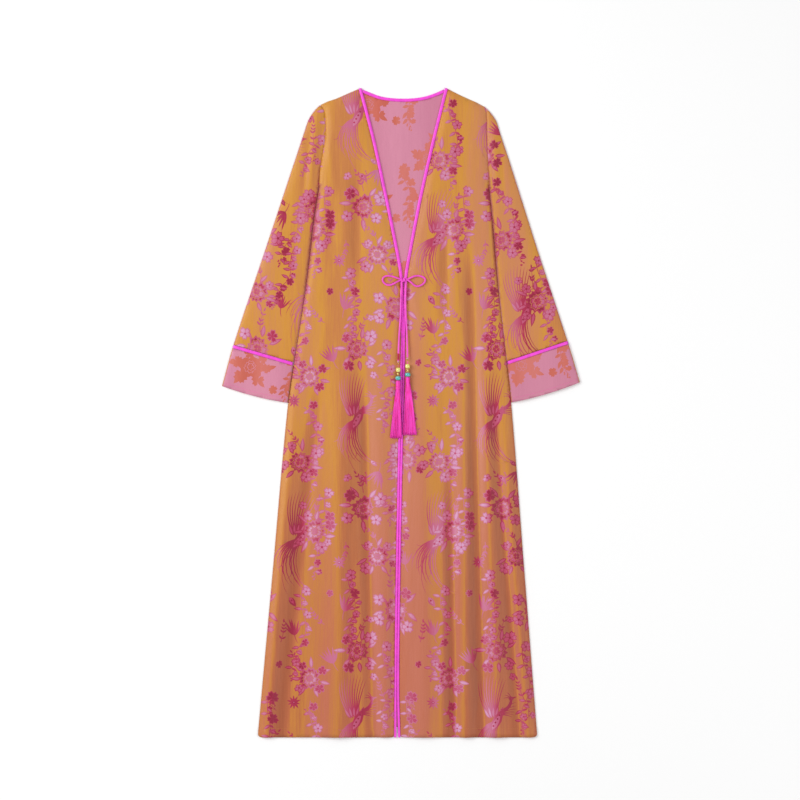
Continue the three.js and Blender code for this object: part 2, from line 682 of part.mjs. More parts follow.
// A tassel: a wrapped head, and strands that hang from it and spread over the cloth.
function tassel(side) {
  const { head, end, halfWidth } = TASSELS[side];
  const { across, layers, root, end: thick, steps: count } = STRANDS;
  const radius = TASSEL_HEAD / 2;
  const down = [0, 0.06, 0.2, 0.5, 0.85, 1];
  const shape = [0.6, 0.88, 1, 0.94, 1, 0.94];
  const headRings = ringsAlong(
    down.map((share) => stringPoint(side, TASSEL_BELOW + share * head)),
    shape.map((share) => share * radius),
    10,
  );
  const rootAt = stringPoint(side, TASSEL_BELOW + head - 1.5);
  const strands = [];
  for (let layer = 0; layer < layers; layer++) {
    for (let k = 0; k < across; k++) {
      const spread = ((k + 0.5 * (layer % 2)) / (across - 0.5)) * 2 - 1;
      const uneven = Math.sin(k * 2.3 + layer * 1.7);
      const rings = steps(count).map((t) => {
        const half = lerp(radius - 0.9, halfWidth - thick / 2, t);
        const x = lerp(rootAt[0], end[0], t) + spread * half;
        const y = lerp(rootAt[1], end[1] + 1.6 * uneven, t);
        const wide = lerp(root, thick, t);
        const tall = lerp(root, 0.95, t);
        const resting = groundTop(x, y) + 0.9 + layer * 1.35;
        const z = lerp(rootAt[2] + (layer - 1) * 1.7, resting, smooth(t * 2.4));
        return [
          [x - wide / 2, y, z],
          [x, y, z + tall],
          [x + wide / 2, y, z],
        ];
      });
      strands.push(solidThrough(rings));
    }
  }
  return joined([solidThrough(headRings), ...strands]);
}

const material = (color, roughness) => new THREE.MeshStandardMaterial({ color, roughness });
const brocade = material(0xcf8a48, 0.5);
const reverse = material(0xd487a3, 0.6);
const satin = material(0xf23fd0, 0.35);
const threads = material(0xee3fb4, 0.55);

const group = new THREE.Group();
function add(name, geometry, colour) {
  const mesh = new THREE.Mesh(geometry, colour);
  mesh.name = name;
  mesh.geometry.computeVertexNormals();
  group.add(mesh);
}

add("back", backPanel(), reverse);
add("binding_neck", neckBinding(), satin);
for (const side of SIDES) {
  add(`front_${side}`, frontPanel(side), brocade);
  add(`sleeve_${side}`, sleeve(side), brocade);
  add(`cuff_piping_${side}`, cuffPiping(side), satin);
  add(`cuff_${side}`, cuff(side), reverse);
  add(`binding_front_${side}`, frontBinding(side), satin);
}
add("bow_knot", knot(), satin);
for (const side of SIDES) {
  add(`bow_loop_${side}`, loop(side), satin);
  add(`tie_tail_${side}`, tail(side), satin);
  for (const strung of STRUNG) add(`${strung.name}_${side}`, bead(side, strung), material(strung.colour, 0.25));
  add(`tassel_${side}`, tassel(side), threads);
}

export default group;
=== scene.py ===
# Looks of the brocade abaya that lies on its back. Lengths are millimetres until a mesh is made.
# The frame is the one of the solids: +Z up, +Y to the neck, +X to the wearer's left.
import math
import random

import bpy
import numpy as np
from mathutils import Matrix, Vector
from mathutils.geometry import delaunay_2d_cdt


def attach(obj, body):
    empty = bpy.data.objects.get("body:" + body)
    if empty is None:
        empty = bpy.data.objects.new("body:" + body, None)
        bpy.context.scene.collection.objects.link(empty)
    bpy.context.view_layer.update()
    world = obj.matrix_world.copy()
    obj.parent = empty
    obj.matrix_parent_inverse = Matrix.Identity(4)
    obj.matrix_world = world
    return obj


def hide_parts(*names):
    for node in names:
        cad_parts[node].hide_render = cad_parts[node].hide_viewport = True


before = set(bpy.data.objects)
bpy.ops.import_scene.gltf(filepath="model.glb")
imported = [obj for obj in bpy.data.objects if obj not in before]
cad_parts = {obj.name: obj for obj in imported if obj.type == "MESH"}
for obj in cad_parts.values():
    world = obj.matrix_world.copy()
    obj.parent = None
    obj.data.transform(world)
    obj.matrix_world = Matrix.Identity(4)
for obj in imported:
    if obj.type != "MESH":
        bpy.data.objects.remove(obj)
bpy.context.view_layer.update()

MM = 0.001
SIDES = ("right", "left")
INWARDS = {"right": 1, "left": -1}
COLUMN = {"right": 1, "left": 2}
FAR = 1e3

# Sizes and tables of the solids.
CLOTH = 1.2
SEAM = 0.3
LAID = CLOTH + SEAM
HEM_Y = -700
LOFT = 3
EDGE_FALL = 16
HEM_FALL = 110
HEM_DEPTH = 21
ARMHOLE_Y = 490
YOKE_Y = 600
FRONT_EDGE = (  # y, right, left
    (700, -88.4, 98), (588, -59.3, 70.1), (459, -31.3, 41), (330, -5.4, 16.2), (297, -0.4, 10.8),
    (250, 2.6, 8.2), (90, 0.6, 5.9), (-63, -3.6, 1.7), (-425, -10.2, -4.8), (-600, -11.8, -6.2),
    (HEM_Y, -12.4, -3.6))
BINDING_NECK, BINDING_BELOW, BINDING_HEIGHT = 6.6, 4.8, 3.2
SIDE_SEAM = (  # y, right, left
    (664, -173, 180), (648, -165, 184.5), (600, -163, 185.5), (567, -167.5, 186.5),
    (524, -174.5, 188.5), (490, -176.8, 190), (414, -188.2, 197.2), (274, -204.8, 209.4),
    (170, -220.8, 221), (21, -243.4, 237.6), (-340, -276.5, 265.8), (HEM_Y, -309.2, 294))
SHOULDER = {
    "right": ((-173, 664), (-157.5, 671.5), (-140, 677), (-123, 684.5), (-107, 691.6), (-92, 698)),
    "left": ((180, 659.5), (162, 669.5), (144.5, 677), (127.3, 685), (114, 691.6), (101.6, 698))}
BACK_NECK = ((-79.6, 692.4), (-66.9, 687.2), (-45.3, 679.4), (-21.6, 675.5), (4.3, 674.2),
             (30.2, 675.3), (53.9, 679.2), (75.5, 686.4), (89.4, 692.6))
BACK_HEM_SIDE, BACK_HEM_MIDDLE = 8, 22
ARM_EDGE = (  # y, right, left
    (664, -174, 176), (655, -183.4, 185.6), (644, -192.2, 195.6), (629, -200.6, 205.3),
    (603, -209.3, 213.6), (545, -228.6, 233), (348, -294, 295.6), (146, -361.5, 361.8),
    (57, -386, 388.2))
ARM_GAP_TOP, ARM_GAP_BELOW, ARM_GAP_OVER = 0.05, 0.2, 50  # the cloth lies closer than its solids
SLEEVE_LOFT = 1.4
PIPED_SEAM = {"right": (105.2, 142.9), "left": (107.7, 151.5)}
CUFF_EDGE = {"right": (21.4, 57.6), "left": (22, 65.6)}
CUFF_BULGE = 4
CUFF_CLOTH = 1.6
PIPING_WIDTH = 6.8

# Folds: where each starts and ends, its half-width, its rise, and how far it takes to grow and fade.
BODY_FOLDS = (
    ((-46, 230), (-36, -760), 19, 2.6, 260, 1),
    ((-84, 140), (-60, -760), 14, -3.4, 200, 1),
    ((-122, 260), (-138, -760), 28, 5.2, 300, 1),
    ((-172, 120), (-268, -760), 16, -3.2, 220, 1),
    ((-226, 90), (-293, -760), 18, 3.6, 260, 1),
    ((-99, 560), (-94, 240), 13, -1.8, 100, 120),
    ((-126, 520), (-120, 240), 14, 1.8, 120, 160),
    ((48, 190), (48, -760), 28, 3.8, 300, 1),
    ((104, -20), (111, -760), 11, -4, 260, 1),
    ((132, 180), (141, -760), 15, 4.4, 300, 1),
    ((146, 430), (174, -760), 12, -5.4, 260, 1),
    ((178, 240), (207, -760), 18, 5, 300, 1),
    ((189, 130), (260, -760), 13, -3.4, 200, 1),
    ((214, 60), (276, -760), 14, 3.2, 240, 1),
    ((92, 440), (98, 170), 12, -1.8, 90, 90),
    ((117, 430), (118, 140), 12, 2.2, 100, 110))
ARM_FOLDS = (
    ((-181, 655), (-202, 430), 8, 2.1, 50, 90),
    ((-190, 640), (-218, 420), 6, -1, 40, 90),
    ((-232, 480), (-312, 150), 20, 1.2, 120, 70),
    ((199, 640), (208, 450), 8, 2, 50, 80),
    ((212, 600), (224, 430), 6, -1, 40, 90),
    ((246, 490), (306, 160), 20, 1.2, 120, 70),
    ((226, 178), (262, 116), 7, -1.1, 20, 14))

# Smaller creases of the cloth alone, listed one by one.
BODY_CREASES = (
    ((-160, 640), (-140, 430), 7, 0.9, 60, 90),
    ((-146, 470), (-158, 300), 9, -0.8, 60, 80),
    ((-74, 470), (-52, 320), 9, 0.9, 70, 50),
    ((-60, 300), (-34, 292), 7, 0.5, 16, 10),
    ((-24, 280), (-62, 120), 8, 0.9, 50, 90),
    ((-12, 262), (-30, 80), 6, -0.7, 50, 80),
    ((-150, 250), (-190, 40), 10, 0.8, 80, 90),
    ((-205, 300), (-216, 120), 8, -0.7, 60, 60),
    ((-100, 40), (-86, -180), 7, 0.8, 80, 80),
    ((-112, -260), (-100, -560), 8, -0.9, 110, 110),
    ((-176, -120), (-186, -430), 9, 0.9, 110, 110),
    ((-212, -260), (-232, -640), 8, 0.8, 110, 90),
    ((-250, -330), (-270, -660), 7, -0.8, 90, 80),
    ((-30, -160), (-26, -420), 8, 0.8, 90, 90),
    ((-66, -420), (-58, -690), 7, 0.9, 90, 1),
    ((-154, -520), (-160, -700), 9, 0.8, 80, 1),
    ((-206, -560), (-218, -700), 7, -0.8, 60, 1),
    ((66, 520), (52, 330), 8, 0.7, 70, 60),
    ((160, 620), (150, 470), 7, 0.8, 50, 60),
    ((24, 276), (62, 120), 7, 0.8, 40, 80),
    ((20, 258), (30, 90), 6, -0.6, 40, 80),
    ((76, 120), (78, -90), 9, 0.9, 80, 90),
    ((66, -180), (72, -520), 9, -0.9, 110, 110),
    ((24, -220), (18, -560), 8, 0.8, 110, 110),
    ((121, -180), (122, -520), 6, 0.9, 90, 90),
    ((160, 60), (158, -260), 7, -0.8, 90, 110),
    ((190, 330), (196, 120), 7, 0.8, 60, 60),
    ((226, -100), (238, -420), 8, 0.9, 110, 110),
    ((190, -330), (196, -660), 8, -0.9, 110, 90),
    ((250, -400), (262, -700), 7, 0.8, 90, 1),
    ((84, -520), (88, -700), 7, 0.9, 60, 1),
    ((156, -540), (158, -700), 7, 0.8, 60, 1))
ARM_CREASES = (
    ((-214, 560), (-236, 400), 7, 0.4, 50, 60),
    ((-236, 540), (-262, 380), 8, -0.4, 50, 60),
    ((-262, 400), (-330, 240), 9, 0.4, 60, 60),
    ((-246, 300), (-268, 170), 7, 0.4, 50, 50),
    ((-300, 320), (-322, 190), 9, -0.4, 50, 50),
    ((-262, 92), (-270, 30), 7, 0.4, 30, 20),
    ((-330, 120), (-346, 50), 8, 0.4, 30, 20),
    ((222, 560), (244, 400), 7, 0.4, 50, 60),
    ((248, 520), (276, 370), 8, -0.4, 50, 60),
    ((240, 330), (262, 190), 8, 0.4, 50, 60),
    ((300, 330), (330, 200), 9, -0.4, 50, 50),
    ((244, 96), (256, 60), 6, -0.5, 20, 20),
    ((320, 120), (334, 50), 8, 0.4, 30, 20))
# The back lies flat, so its creases are lower; they show inside the neckline and from below.
BACK_CREASES = (
    ((-60, 640), (-30, 420), 22, 0.35, 90, 90),
    ((-8, 660), (6, 330), 20, 0.4, 90, 120),
    ((58, 640), (40, 440), 18, 0.35, 80, 90),
    ((-120, 420), (-150, -40), 26, 0.5, 160, 160),
    ((-60, 300), (-76, -300), 24, 0.5, 200, 200),
    ((10, 200), (4, -420), 26, 0.5, 200, 200),
    ((80, 300), (96, -200), 24, 0.5, 200, 200),
    ((140, 380), (176, -260), 24, 0.5, 200, 200),
    ((-190, 60), (-236, -520), 26, 0.5, 200, 160),
    ((210, 40), (240, -560), 24, 0.5, 200, 160),
    ((-130, -160), (-146, -690), 26, 0.5, 200, 1),
    ((-30, -260), (-40, -690), 24, 0.5, 200, 1),
    ((60, -240), (70, -690), 26, 0.5, 200, 1),
    ((140, -320), (160, -690), 22, 0.5, 200, 1))


def lerp(a, b, t):
    return a + (b - a) * t


def smooth(t):
    t = np.clip(t, 0, 1)
    return t * t * (3 - 2 * t)


def at(table, column, y):
    """A column's value at y, on a smooth curve through rows whose y falls."""
    rows = np.array(table, float)
    ys, values = rows[:, 0], rows[:, column]
    y = np.asarray(y, float)
    i = np.clip(np.searchsorted(-ys, -y), 1, len(ys) - 1)
    before, after = np.maximum(i - 2, 0), np.minimum(i + 1, len(ys) - 1)
    span = ys[i] - ys[i - 1]
    t = np.clip((y - ys[i - 1]) / span, 0, 1)
    start = (values[i] - values[before]) / (ys[i] - ys[before]) * span
    end = (values[after] - values[i - 1]) / (ys[after] - ys[i - 1]) * span
    t2, t3 = t * t, t * t * t
    return ((2 * t3 - 3 * t2 + 1) * values[i - 1] + (t3 - 2 * t2 + t) * start
            + (3 * t2 - 2 * t3) * values[i] + (t3 - t2) * end)


def body_side(side, y):
    return at(SIDE_SEAM, COLUMN[side], y)


def binding_width(y):
    return lerp(BINDING_BELOW, BINDING_NECK, smooth((np.asarray(y, float) - 250) / 47))


def front_edge(side, y):
    return at(FRONT_EDGE, COLUMN[side], y) - INWARDS[side] * (binding_width(y) / 2 + SEAM)


def shoulder_y(side, x):
    points = sorted(SHOULDER[side])
    return np.interp(x, [p[0] for p in points], [p[1] for p in points])


def arm_inner(side, y):
    y = np.asarray(y, float)
    gap = lerp(ARM_GAP_TOP, ARM_GAP_BELOW, smooth((ARMHOLE_Y - y) / ARM_GAP_OVER))
    return body_side(side, y) - INWARDS[side] * gap


def fold_sum(folds, x, y):
    total = np.zeros_like(x)
    for start, end, half, rise, fade_in, fade_out in folds:
        dx, dy = end[0] - start[0], end[1] - start[1]
        length = math.hypot(dx, dy)
        run = ((x - start[0]) * dx + (y - start[1]) * dy) / length
        off = ((x - start[0]) * dy - (y - start[1]) * dx) / length
        inside = (run >= 0) & (run <= length)
        total += (inside * rise * np.exp(-(off / half) ** 2)
                  * smooth(run / fade_in) * smooth((length - run) / fade_out))
    return total


def lift(raised):
    return 0.5 * (raised + np.sqrt(raised * raised + 1))


def body_base(x, y):
    return LOFT * smooth((y - HEM_Y) / HEM_FALL) + fold_sum(BODY_FOLDS, x, y)


def edge_distances(side, x, y):
    to_side = np.where(y < ARMHOLE_Y, np.abs(x - body_side(side, np.minimum(y, ARMHOLE_Y))),
                       np.hypot(x - body_side(side, ARMHOLE_Y), y - ARMHOLE_Y))
    to_armhole = np.where(y < ARMHOLE_Y, FAR, np.abs(x - body_side(side, y)))
    to_shoulder = np.where(y < YOKE_Y, FAR, shoulder_y(side, x) - y)
    return to_side, to_armhole, np.abs(x - front_edge(side, y)), to_shoulder


def front_lift(side, x, y, creased=False):
    fall = 1.0
    for off in edge_distances(side, x, y):
        fall = fall * smooth(off / EDGE_FALL)
    raised = body_base(x, y)
    if creased:
        raised = raised + fold_sum(BODY_CREASES, x, y)
    return fall * lift(raised)


def ground_top(x, y):
    """The top of the fronts and their bindings, under the cords."""
    x, y = np.asarray(x, float), np.asarray(y, float)
    middle = (at(FRONT_EDGE, 1, y) + at(FRONT_EDGE, 2, y)) / 2
    tops = []
    for side in SIDES:
        cloth = LAID + CLOTH + front_lift(side, x, y)
        reach = np.abs(x - at(FRONT_EDGE, COLUMN[side], y)) - binding_width(y) / 2
        tops.append(np.maximum(cloth, (LAID + BINDING_HEIGHT) * smooth((4 - reach) / 3)))
    return np.where(x < middle, tops[0], tops[1])


# Woven motifs: closed outlines on the flat cloth, each with the tone of its thread.
FULL, PALE, DEEP, BARE = 1.0, 0.7, 0.4, 0.0


def turned(shapes, x, y, angle=0.0, size=1.0):
    c, s = math.cos(angle) * size, math.sin(angle) * size
    return [([(x + c * px - s * py, y + s * px + c * py) for px, py in points], tone)
            for points, tone in shapes]


def leaf_outline(length, width, bend=0.0, steps=4):
    """A pointed leaf from the origin along +Y."""
    up = [i / steps for i in range(1, steps)]
    middle = [(bend * math.sin(math.pi * t * 0.5) * t * length, t * length) for t in up]
    half = [width / 2 * math.sin(math.pi * t ** 0.8) ** 0.9 for t in up]
    left = [(m[0] - h, m[1]) for m, h in zip(middle, half)]
    right = [(m[0] + h, m[1]) for m, h in zip(middle, half)]
    return [(0, 0)] + left + [(bend * length, length)] + right[::-1]


def leaf(length, width, bend=0.0):
    """A leaf, with a lighter inside where it is large enough to show."""
    shapes = [(leaf_outline(length, width, bend, 3 if length < 11 else 4), FULL)]
    if width > 6:
        shapes += turned([(leaf_outline(length * 0.78, width * 0.56, bend), PALE)], 0, length * 0.12)
    return shapes


def stroke(points, start, end):
    """A tapered line through points."""
    left, right = [], []
    for i, (x, y) in enumerate(points[:-1]):
        a, b = points[max(i - 1, 0)], points[i + 1]
        length = math.hypot(b[0] - a[0], b[1] - a[1]) or 1
        half = lerp(start, end, i / (len(points) - 1)) / 2
        nx, ny = -(b[1] - a[1]) / length * half, (b[0] - a[0]) / length * half
        left.append((x + nx, y + ny))
        right.append((x - nx, y - ny))
    return left + [points[-1]] + right[::-1]


def arc(length, bend, steps=5, start=(0, 0), angle=0.0):
    """Points of a curve that starts along +Y, turned by angle, and bends as it goes."""
    x, y = start
    points = [(x, y)]
    for i in range(steps):
        heading = angle + bend * (i + 0.5) / steps
        x += -math.sin(heading) * length / steps
        y += math.cos(heading) * length / steps
        points.append((x, y))
    return points


def around(count):
    """Even angles round a circle."""
    return np.linspace(0, 2 * math.pi, count, endpoint=False)


def disc(radius, x=0.0, y=0.0, steps=6):
    return [(x + radius * math.cos(a), y + radius * math.sin(a)) for a in around(steps)]


def petal(length, width, notch=0.16):
    """A broad petal from the origin along +Y, with a notch at its tip."""
    shape = ((0.14, 0.1), (0.47, 0.56), (0.3, 0.97), (0.0, 1.0 - notch))
    half = [(w * width, t * length) for w, t in shape]
    return half + [(-x, y) for x, y in half[-2::-1]]


def ring_of(count, radius, width, fill, turn, rng, parted=False):
    """Petals round a middle, parted from their neighbours by the bare ground where that is asked for."""
    shapes = []
    rim = 0.9 / radius
    for i in range(count):
        size = 1 + rng.uniform(-0.16, 0.1)
        angle = turn + 2 * math.pi * (i + rng.uniform(-0.12, 0.12)) / count
        one = [(petal(radius * (1 + rim), width * (1 + 2 * rim)), BARE)] if parted else []
        one.append((petal(radius, width), FULL))
        if radius > 6.5:
            one.append(([(x * 0.7, y * 0.76 + radius * 0.07) for x, y in petal(radius, width)], fill))
        shapes += turned(one, 0, 0, angle, size)
    return shapes


def blossom(radius, rng):
    shapes = ring_of(5, radius, radius * 0.84, PALE if rng.random() < 0.6 else DEEP, rng.uniform(0, 6), rng)
    return shapes + [(disc(radius * 0.18), DEEP)]


def peony(radius, rng):
    turn = rng.uniform(0, 6)
    shapes = ring_of(7, radius, radius * 0.8, DEEP, turn, rng)
    shapes += ring_of(6, radius * 0.7, radius * 0.62, PALE, turn + 0.3, rng, parted=True)
    return shapes + ring_of(4, radius * 0.36, radius * 0.4, FULL, turn + 0.7, rng, parted=True)


def daisy(radius, rng):
    turn = rng.uniform(0, 6)
    shapes = []
    for i in range(10):
        angle = turn + 2 * math.pi * i / 10
        shapes += turned(leaf(radius, radius * 0.3), 0, 0, angle, 1 + rng.uniform(-0.15, 0.1))
    return shapes + [(disc(radius * 0.22), DEEP), (disc(radius * 0.12), PALE)]


def sprig(length, rng, pairs=4):
    bend = rng.uniform(-0.7, 0.7)
    points = arc(length, bend, 6)
    shapes = [(stroke(points, 1.5, 0.9), FULL)]
    for i in range(1, pairs + 1):
        x, y = points[min(round(i * 6 / (pairs + 0.6)), 6)]
        heading = bend * i / pairs
        size = 0.24 * length * (1.15 - 0.1 * i)
        for way in (-1, 1):
            shapes += turned(leaf(size, size * 0.42, 0.1 * way), x, y, heading + way * rng.uniform(0.6, 1.0))
    x, y = points[-1]
    return shapes + turned(leaf(0.24 * length, 0.09 * length), x, y, bend)


def spray(length, rng):
    """Long bare blades that fan out from one foot."""
    shapes = []
    for i in range(7):
        angle = lerp(-0.95, 0.9, i / 6) + rng.uniform(-0.1, 0.1)
        size = length * rng.uniform(0.6, 1.0)
        shapes += turned(leaf(size, size * 0.13, 0.3 * angle), 0, 0, angle)
    return shapes + [(stroke(arc(length * 0.5, 0.5, 4, (0, 0), math.pi), 1.8, 1.0), FULL)]


def berries(length, rng):
    shapes = [(stroke(arc(length, 0.5, 5), 1.1, 0.8), FULL)]
    for i in range(6):
        t = 0.2 + 0.8 * i / 5
        x, y = rng.uniform(-0.2, 0.2) * length, t * length
        shapes += turned([(petal(4.6, 3.6, 0), FULL)], x, y, rng.uniform(-1.6, 1.6))
    return shapes


def vine(length, rng):
    """A hanging stem with flowers, leaves and buds on both sides of it."""
    shapes = []
    points = arc(length * 0.34, 0.7, 5, (0, 0), math.pi - 0.3)
    points += arc(length * 0.36, -1.0, 5, points[-1], math.pi + 0.4)[1:]
    points += arc(length * 0.3, 0.8, 5, points[-1], math.pi - 0.6)[1:]
    shapes.append((stroke(points, 1.7, 0.9), FULL))
    for i in range(1, len(points)):
        x, y = points[i]
        way = 1 if i % 2 else -1
        across = way * rng.uniform(5, 10)
        if i % 4 == 1:
            radius = rng.uniform(11, 15.5) * (1 - 0.3 * i / len(points))
            shapes += turned(blossom(radius, rng), x + across, y + rng.uniform(-3, 3))
        elif i % 4 == 3:
            shapes += turned(blossom(rng.uniform(6, 8.5), rng), x + across, y)
            shapes += turned(leaf(15, 7, 0.1 * way), x, y, -way * rng.uniform(1.4, 2.2))
        else:
            shapes += turned(leaf(rng.uniform(14, 19), 7.4, 0.12 * way), x, y, way * rng.uniform(-2.2, -1.2))
            shapes += turned(leaf(rng.uniform(10, 14), 5.2, 0), x, y, way * rng.uniform(1.0, 2.4))
    x, y = points[-1]
    return shapes + turned(berries(16, rng), x, y, math.pi)


def bouquet(radius, rng):
    """A large flower with smaller ones, buds and leaves round it."""
    shapes = []
    turn = rng.uniform(0, 6)
    for i in range(7):
        angle = turn + 0.9 * i
        one = leaf(radius * rng.uniform(0.5, 0.7), radius * 0.22, rng.uniform(-0.2, 0.2))
        shapes += turned(one, -math.sin(angle) * radius * 0.5, math.cos(angle) * radius * 0.5,
                         angle + rng.uniform(-0.3, 0.3))
    for i in range(4):
        angle = turn + 1.57 * i + rng.uniform(-0.3, 0.3)
        reach = radius * rng.uniform(0.72, 0.9)
        one = blossom(radius * rng.uniform(0.24, 0.34), rng)
        shapes += turned(one, -math.sin(angle) * reach, math.cos(angle) * reach)
    shapes += turned(peony(radius * 0.56, rng), rng.uniform(-2, 2), rng.uniform(-2, 2))
    return shapes + turned(sprig(radius * 0.9, rng, 3), 0, radius * 0.7, rng.uniform(-0.5, 0.5))


def plume(length, bend, angle, start, width, curls=0):
    """A long feather; curls are short barbs that leave it on its outer side."""
    points = arc(length, bend, 6, start, angle)
    shapes = [(stroke(points, width, 0.6), FULL)]
    for i in range(curls):
        x, y = points[2 + 2 * i]
        heading = angle + bend * (2 + 2 * i) / 6
        way = -1 if bend > 0 else 1
        barb = arc(length * 0.16, way * 1.3, 4, (x, y), heading + way * 0.35)
        shapes.append((stroke(barb, 1.3, 0.5), FULL))
    return shapes


def eye_plume(length, bend, angle, start):
    eye = [(leaf_outline(length * 0.2, length * 0.1), FULL),
           (leaf_outline(length * 0.14, length * 0.055), PALE),
           (disc(length * 0.018, 0, length * 0.07), DEEP)]
    tip = arc(length, bend, 6, start, angle)[-1]
    return plume(length, bend, angle, start, 1.8) + turned(eye, *tip, angle + bend)


def bird(length, rng):
    """A long-tailed bird in flight, of generic design: wings raised to +Y, tail swept round below."""
    size = length / 100
    width = size ** 0.5
    shapes = []
    for i in range(9):
        t = i / 8
        shapes += plume(lerp(40, 62, t) * size * rng.uniform(0.92, 1.06), lerp(1.5, 1.9, t),
                        math.pi - lerp(1.25, 0.5, t), (lerp(-2, 3, t) * size, -3 * size), 2.6 * width,
                        2 if i % 3 == 0 else 0)
    shapes += eye_plume(60 * size, 1.5, math.pi - 0.75, (0, -6 * size))
    shapes += eye_plume(44 * size, 1.1, math.pi - 0.3, (3 * size, -6 * size))
    for i in range(10):
        t = i / 9
        reach = lerp(30, 45, math.sin(math.pi * (0.25 + 0.6 * t))) * size
        foot = lerp(-4, 3, t) * size, lerp(2, 6, t) * size
        shapes += plume(reach, lerp(-0.75, -0.3, t), lerp(0.62, -0.18, t), foot, 2.5 * width)
    for i in range(6):
        t = i / 5
        shapes += plume(lerp(16, 25, t) * size, -0.6, lerp(-1.5, -0.75, t), (4 * size, 4 * size), 2.2 * width)
    for i in range(5):
        shapes += turned(leaf(13 * size, 3.6 * size, 0.2), (2 * i - 4) * size, size, lerp(0.7, -0.3, i / 4))
    body = [(leaf_outline(25 * size, 9.5 * size), FULL), (leaf_outline(19 * size, 5.5 * size), PALE)]
    shapes += turned(body, -3 * size, -11 * size, -0.55)
    shapes += [(disc(1.1 * size, (i * 2.4 - 1.5) * size, (i * 3.6 - 7) * size, 5), DEEP) for i in range(4)]
    neck = arc(18 * size, 1.5, 6, (8 * size, 8 * size), -1.5)
    x, y = neck[-1]
    shapes += [(stroke(neck, 4.4 * size, 2.6 * size), FULL), (disc(2.6 * size, x, y), FULL),
               (disc(0.8 * size, x + size, y, 5), PALE)]
    shapes += turned([(leaf_outline(6 * size, 1.8 * size, 0, 3), FULL)], x, y, -1.3)
    crest = [arc(9 * size, 0.9, 4, (x, y), 0.1 + 0.45 * i) for i in range(3)]
    return shapes + [(stroke(one, 1.1 * size, 0.5 * size), FULL) for one in crest]


def cluster(radius, rng):
    """A large ragged flower head with blossoms and leaves that run into it."""
    rim = [(1 + 0.1 * math.sin(5 * a) + 0.08 * math.sin(11 * a + 1) + rng.uniform(-0.06, 0.06), a)
           for a in around(44)]
    shapes = [([(0.62 * radius * r * math.cos(a), 0.5 * radius * r * math.sin(a)) for r, a in rim], FULL)]
    shapes += turned(peony(radius * 0.44, rng), -0.06 * radius, 0)
    for i in range(6):
        angle = 1.05 * i + rng.uniform(-0.2, 0.2)
        x, y = 0.74 * radius * math.cos(angle), 0.66 * radius * math.sin(angle)
        shapes += turned(blossom(radius * rng.uniform(0.26, 0.36), rng), x, y)
        outwards = angle - math.pi / 2
        shapes += turned(leaf(radius * 0.5, radius * 0.22, 0.1), x, y, outwards + rng.uniform(-0.5, 0.5))
    return shapes


KINDS = {kind.__name__: kind
         for kind in (bird, bouquet, cluster, vine, daisy, blossom, sprig, spray, berries)}
# One repeat of the cloth, 300 by 650: kind, place from the first bird, turn in degrees and size.
MOTIFS = (
    ("bird", 0, 0, 4, 205), ("bird", 176, -258, -8, 215),
    ("vine", 62, 168, 4, 190), ("vine", 118, 60, -6, 180), ("vine", -96, 40, 5, 190),
    ("vine", 78, -70, 3, 150), ("vine", -60, -150, -4, 190), ("vine", 96, -180, 2, 130),
    ("vine", -110, 290, -3, 200), ("vine", -14, 320, 6, 150),
    ("bouquet", 6, 146, 0, 46), ("bouquet", -96, 88, 30, 42), ("bouquet", 88, 236, 10, 50),
    ("bouquet", 18, -196, 0, 48), ("bouquet", -88, -246, 0, 46), ("bouquet", 112, -92, 0, 44),
    ("bouquet", -118, -96, 0, 44), ("bouquet", 48, -300, 0, 42),
    ("sprig", 64, 44, 30, 42), ("spray", -46, 120, 20, 40), ("spray", 52, -116, 160, 44),
    ("spray", -24, 232, -20, 42), ("sprig", 140, 166, -20, 42), ("sprig", -20, -268, 190, 40),
    ("spray", -130, 180, 10, 40), ("spray", 108, -318, 10, 38), ("sprig", -66, 204, 60, 40),
    ("sprig", -82, -10, 20, 36),
    ("blossom", 40, 92, 0, 9), ("blossom", -16, -130, 0, 10), ("blossom", -112, -190, 0, 10),
    ("blossom", 136, 118, 0, 9), ("blossom", 34, 214, 0, 8), ("blossom", -54, 272, 0, 9),
    ("blossom", 84, 8, 0, 8),
    ("daisy", -132, 36, 0, 15), ("daisy", -34, -312, 0, 15),
    ("berries", 26, -148, 10, 26), ("berries", 74, 22, 170, 24), ("berries", 130, 18, 30, 24),
    ("berries", -20, 190, 200, 24))
# The reverse, 250 by 210: there the threads run together into ragged clusters.
REVERSE_MOTIFS = (
    ("cluster", 0, 0, 0, 44), ("cluster", 128, 96, 40, 36), ("vine", 70, 78, 12, 120),
    ("sprig", -62, 44, 50, 44), ("blossom", 58, -34, 0, 12), ("spray", -58, -40, 130, 40),
    ("cluster", -96, 128, 80, 30), ("blossom", 12, 92, 0, 10))


def motif_shapes(table, seed):
    rng = random.Random(seed)
    return [turned(KINDS[kind](size, rng), x, y, math.radians(degrees))
            for kind, x, y, degrees, size in table]


MOTIF_REACH = 250, 400  # how far a motif may lie from the corner of its repeat
FACE = motif_shapes(MOTIFS, 11), 300, 650
REVERSE = motif_shapes(REVERSE_MOTIFS, 4), 250, 210


